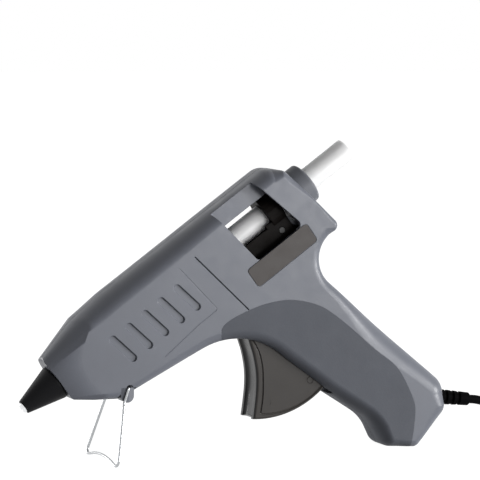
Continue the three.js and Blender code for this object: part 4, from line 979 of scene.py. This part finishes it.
def trigger_seam():
    """The groove on each side: down behind the front, then along the lower edge."""
    behind_front = [
        (112.6, -41.0), (112.0, -47.0), (111.2, -51.5), (108.8, -57.5), (103.9, -65.2), (99.2, -71.2),
        (94.2, -76.4),
    ]
    centre, radius, start, sweep, steps = (120.5, -44.4), 42.0, 232, 78, 24
    low_edge = []
    for i in range(steps + 1):
        t = math.radians(start + sweep * i / steps)
        low_edge.append((centre[0] + radius * math.cos(t), centre[1] + radius * math.sin(t)))
    return [tuple(p) for p in smooth_line(behind_front, 5)] + low_edge


def trigger_marks(side):
    """What the groove, a fine ring and a shallow dimple take off one side."""
    seam = [(s, side * (TRIGGER_HALF + 0.05), h) for s, h in trigger_seam()]
    ring = [(s, side * (TRIGGER_HALF + 0.03), h) for s, h in circle((124.8, -79.4), 1.7, 32)]
    low, high = sorted((side * (TRIGGER_HALF - 0.12), side * 12))
    dimple = across((100.7, -74.7), 1.4, low, high, 32)
    return tube(seam, 0.55, 10), tube(ring + ring[:1], 0.25, 8), dimple


def trigger():
    made = cut(trigger_body(), *trigger_marks(-1), *trigger_marks(1))
    hub, fork, arm = TRIGGER_HUB, 3.5, 2.8
    arms = prism(capsule(PIVOT, LINK_PIN, hub, 3.5, 16), -fork - arm, fork + arm)
    between = block((LINK_PIN[0] - ARM_LENGTH, LINK_PIN[0] + ARM_LENGTH), (-fork, fork), (PIVOT[1] + hub, 0))
    made = join(made, across(PIVOT, hub, -TRIGGER_HALF, TRIGGER_HALF), cut(arms, between))
    return cut(made, across(PIVOT, PIVOT_BORE, -HALF, HALF), across(LINK_PIN, 1.8, -HALF, HALF, 32))


def paint_front_and_shade(made):
    """The scooped front is glossier than the sides, and darker in colour as painted shade for the dark
    reflection along it.
    """
    made.data.materials.append(TRIGGER_FACE_AND_SHADE)
    forward = GUN.to_3x3().normalized() @ Vector((-0.877, 0, 0.48))
    for polygon in made.data.polygons:
        if polygon.normal.dot(forward) > 0.5:
            polygon.material_index = 1


paint_front_and_shade(piece("trigger_lever", trigger(), GUN, "trigger", TRIGGER, ("trigger",), 28))


# The sled below the stick, part of the carriage: two sides with a web between them
def sled():
    start, end, outer, inner = 132.0, 151.3, 9, 7.6
    length, width = (start - 1, end + 1), (-inner, inner)
    made = block((start, end), (-outer, outer), (-13.4, -4.4))
    return cut(made, block(length, width, (-8.6, 0)), block(length, width, (-16, -10)))


# The sled's near-black finish is partly painted shade for the dark inside below the stick.
piece("carriage_sled", sled(), GUN, "carriage", CARRIAGE_BLACK_AND_SHADE, ())


# Return spring, wound between the carriage and the screw boss behind it
def spring():
    radius, wire, pitch, steps = 2.2, 0.45, 0.92, 32
    boss, height = SCREWS[3]
    start = AT["carriageRear"] + GAP + wire
    end = boss - SCREW_BOSS - GAP - wire
    count = math.floor((end - start) / pitch) * steps
    points = []
    for i in range(count + 1):
        turn = 2 * math.pi * i / steps
        s = start + (end - start) * i / count
        points.append((s, radius * math.cos(turn), height + radius * math.sin(turn)))
    return tube(points, wire, 14)


piece("spring", spring(), GUN, "housing", STEEL, ("return_spring",))

# Wire stand: where its feet are in x, from the pivot
STAND_FOOT = -9.5


def stand_leg(side, floor):
    """From the pin in the shell over hip and knee to the foot, and in from there."""
    pin = (0, side * 8.5, 0)
    hip = (0, side * 14, 0)
    knee = (-2.5, side * 14, -7.7)
    foot = (STAND_FOOT, side * 25, floor)
    inward = (STAND_FOOT, side * 17.5, floor)
    line = softened([pin, hip, knee], 1.5, 10)[:-1]
    line += softened([hip, knee, foot], 6, 10)[1:-1]
    return line + softened([knee, foot, inward], 2.5, 14)[1:-1]


def stand_path(floor):
    """One leg, the arch between the feet and the other leg, about the pivot."""
    reach, rise, steps = 20.0, 2.6, 24
    arch = []
    for i in range(1, steps):
        share = 2 * i / steps - 1
        arch.append(np.array((STAND_FOOT, share * reach, floor + rise * (1 - share * share))))
    return stand_leg(-1, floor) + arch + stand_leg(1, floor)[::-1]


def stand():
    """The wire. Its rounded feet end above their corners, so the path is lowered by as much."""
    x, z = level(*STAND_PIVOT)
    floor = WIRE_RADIUS - z
    spare = min(p[2] for p in stand_path(floor)) - floor
    line = [np.array((x, 0, z)) + p for p in stand_path(floor - spare)]
    return tube(line, WIRE_RADIUS, 18)


piece("stand", stand(), LEVEL, "stand", WIRE, ("stand_wire",))


# Strain relief
def relief():
    """A tapered sleeve with three grooves, and the neck and lip that the shells hold."""
    bore, inside, skin, taper = CORD_RADIUS + 0.05, -WALL - RUN, 4.0, 0.7
    line = [
        (inside - LIP_WIDTH, bore), (inside - LIP_WIDTH, RELIEF_LIP), (inside, RELIEF_LIP),
        (inside, RELIEF_NECK), (RUN, RELIEF_NECK), (RUN, skin),
    ]
    for share in (0.26, 0.46, 0.66):
        s, radius = share * RELIEF_LENGTH, skin - taper * share
        line += [(s - 0.75, radius), (s - 0.5, radius - 1.0), (s + 0.5, radius - 1.0), (s + 0.75, radius)]
    line += [(RELIEF_LENGTH - 0.4, 3.35), (RELIEF_LENGTH, 2.95), (RELIEF_LENGTH, bore), line[0]]
    return at_relief(turned(rounded(line, 0.25, 4), 64))


piece("relief", relief(), GUN, "housing", RUBBER, ("strain_relief",))

# Bare plate with rounded corners, a little proud of the side
PLATE_PROUD = 0.15
plate = prism(plate_outline(0, 2), -HALF - PLATE_PROUD, -HALF + PLATE_SUNK)
piece("plate", plate, GUN, "housing", PLATE, ("rating_plate",))

# Solids that keep showing, with their finishes
FINISHES = {
    "melt_chamber": ALLOY, "ptc_heater": CERAMIC, "inlet_sleeve": SILICONE, "sleeve_clamp": ZINC,
    "trigger_pivot_pin": STEEL, "feed_link": BLACK, "link_front_pin": DARK_STEEL,
    # The rear link pin takes the carriage's near-black in place of steel, as painted shade.
    "link_rear_pin": CARRIAGE_BLACK_AND_SHADE, "clamp_lever": CARRIAGE_BLACK_AND_SHADE, "lever_pin": DARK_STEEL,
    "feed_carriage": CARRIAGE_BLACK_AND_SHADE, "cord_tail": CORD_SKIN, "cord_clamp": BLACK, "clamp_screw_1": ZINC,
    "clamp_screw_2": ZINC, "lead_wire_neutral": BLUE, "lead_wire_live": BROWN,
    **{f"shell_screw_{i}": ZINC for i in range(1, 7)},
}
for name, finish in FINISHES.items():
    finished(nodes[name].data, finish, 35)


# Stage: a pale floor, the white surroundings and soft lamps
def seen_rays(tree):
    """Is the ray a camera, glossy or transmission ray."""
    path = tree.nodes.new("ShaderNodeLightPath")
    seen = computed(tree, "MAXIMUM", path.outputs["Is Camera Ray"], path.outputs["Is Glossy Ray"])
    return computed(tree, "MAXIMUM", seen, path.outputs["Is Transmission Ray"])


def floor_glow(tree):
    """How white the floor is seen: fully far off and a little less around the object."""
    where, length = tree.nodes.new("ShaderNodeTexCoord"), tree.nodes.new("ShaderNodeVectorMath")
    length.operation = "LENGTH"
    tree.links.new(where.outputs["Object"], length.inputs[0])
    far = ramp(tree, length.outputs["Value"], 0.93, 1.0, 0.15, 0.6)
    far.node.interpolation_type = "SMOOTHSTEP"
    return computed(tree, "MULTIPLY", seen_rays(tree), far)


def floor_material():
    """A pale surface that takes shadows, seen against the glow."""
    material = bpy.data.materials.new("floor_white")
    material.use_nodes = True
    tree = material.node_tree
    tree.nodes.clear()
    add, link = tree.nodes.new, tree.links.new
    output, both = add("ShaderNodeOutputMaterial"), add("ShaderNodeAddShader")
    diffuse, glow = add("ShaderNodeBsdfDiffuse"), add("ShaderNodeEmission")
    diffuse.inputs["Color"].default_value = (0.6, 0.6, 0.6, 1)
    link(floor_glow(tree), glow.inputs["Strength"])
    link(diffuse.outputs[0], both.inputs[0])
    link(glow.outputs[0], both.inputs[1])
    link(both.outputs[0], output.inputs["Surface"])
    return material


def make_floor():
    made = bmesh.new()
    bmesh.ops.create_circle(made, cap_ends=True, segments=96, radius=6)
    mesh = bpy.data.meshes.new("floor")
    made.to_mesh(mesh)
    made.free()
    mesh.materials.append(floor_material())
    floor = bpy.data.objects.new("floor", mesh)
    scene.collection.objects.link(floor)


def make_world():
    """White where it is seen, and a low level of light on the object."""
    world = bpy.data.worlds.new("world")
    scene.world = world
    world.use_nodes = True
    tree = world.node_tree
    tree.nodes.clear()
    add, link = tree.nodes.new, tree.links.new
    output, mix = add("ShaderNodeOutputWorld"), add("ShaderNodeMixShader")
    low, white = add("ShaderNodeBackground"), add("ShaderNodeBackground")
    low.inputs["Strength"].default_value = 0.09
    for background in (low, white):
        background.inputs["Color"].default_value = (1, 1, 1, 1)
    link(seen_rays(tree), mix.inputs["Fac"])
    link(low.outputs[0], mix.inputs[1])
    link(white.outputs[0], mix.inputs[2])
    link(mix.outputs[0], output.inputs["Surface"])


# Each lamp: azimuth and elevation in degrees, width and height in metres, and power
LAMPS = {
    "key": (60, 5, 0.6, 0.4, 20),
    "front": (28, 5, 0.6, 0.4, 11),
    "rim": (-140, 8, 0.8, 0.5, 10),
}


def make_lamps():
    target, distance = Vector((0.02, 0, 0.07)), 1.6
    for name, (azimuth, elevation, width, height, power) in LAMPS.items():
        way = direction(math.radians(azimuth), math.radians(elevation))
        data = bpy.data.lights.new(name, "AREA")
        data.shape, data.size, data.size_y, data.energy = "RECTANGLE", width, height, power
        lamp = bpy.data.objects.new(name, data)
        lamp.location = target + way * distance
        lamp.rotation_mode = "QUATERNION"
        lamp.rotation_quaternion = way.to_track_quat("Z", "Y")
        scene.collection.objects.link(lamp)


make_floor()
make_world()
make_lamps()
scene.view_settings.view_transform = "Standard"
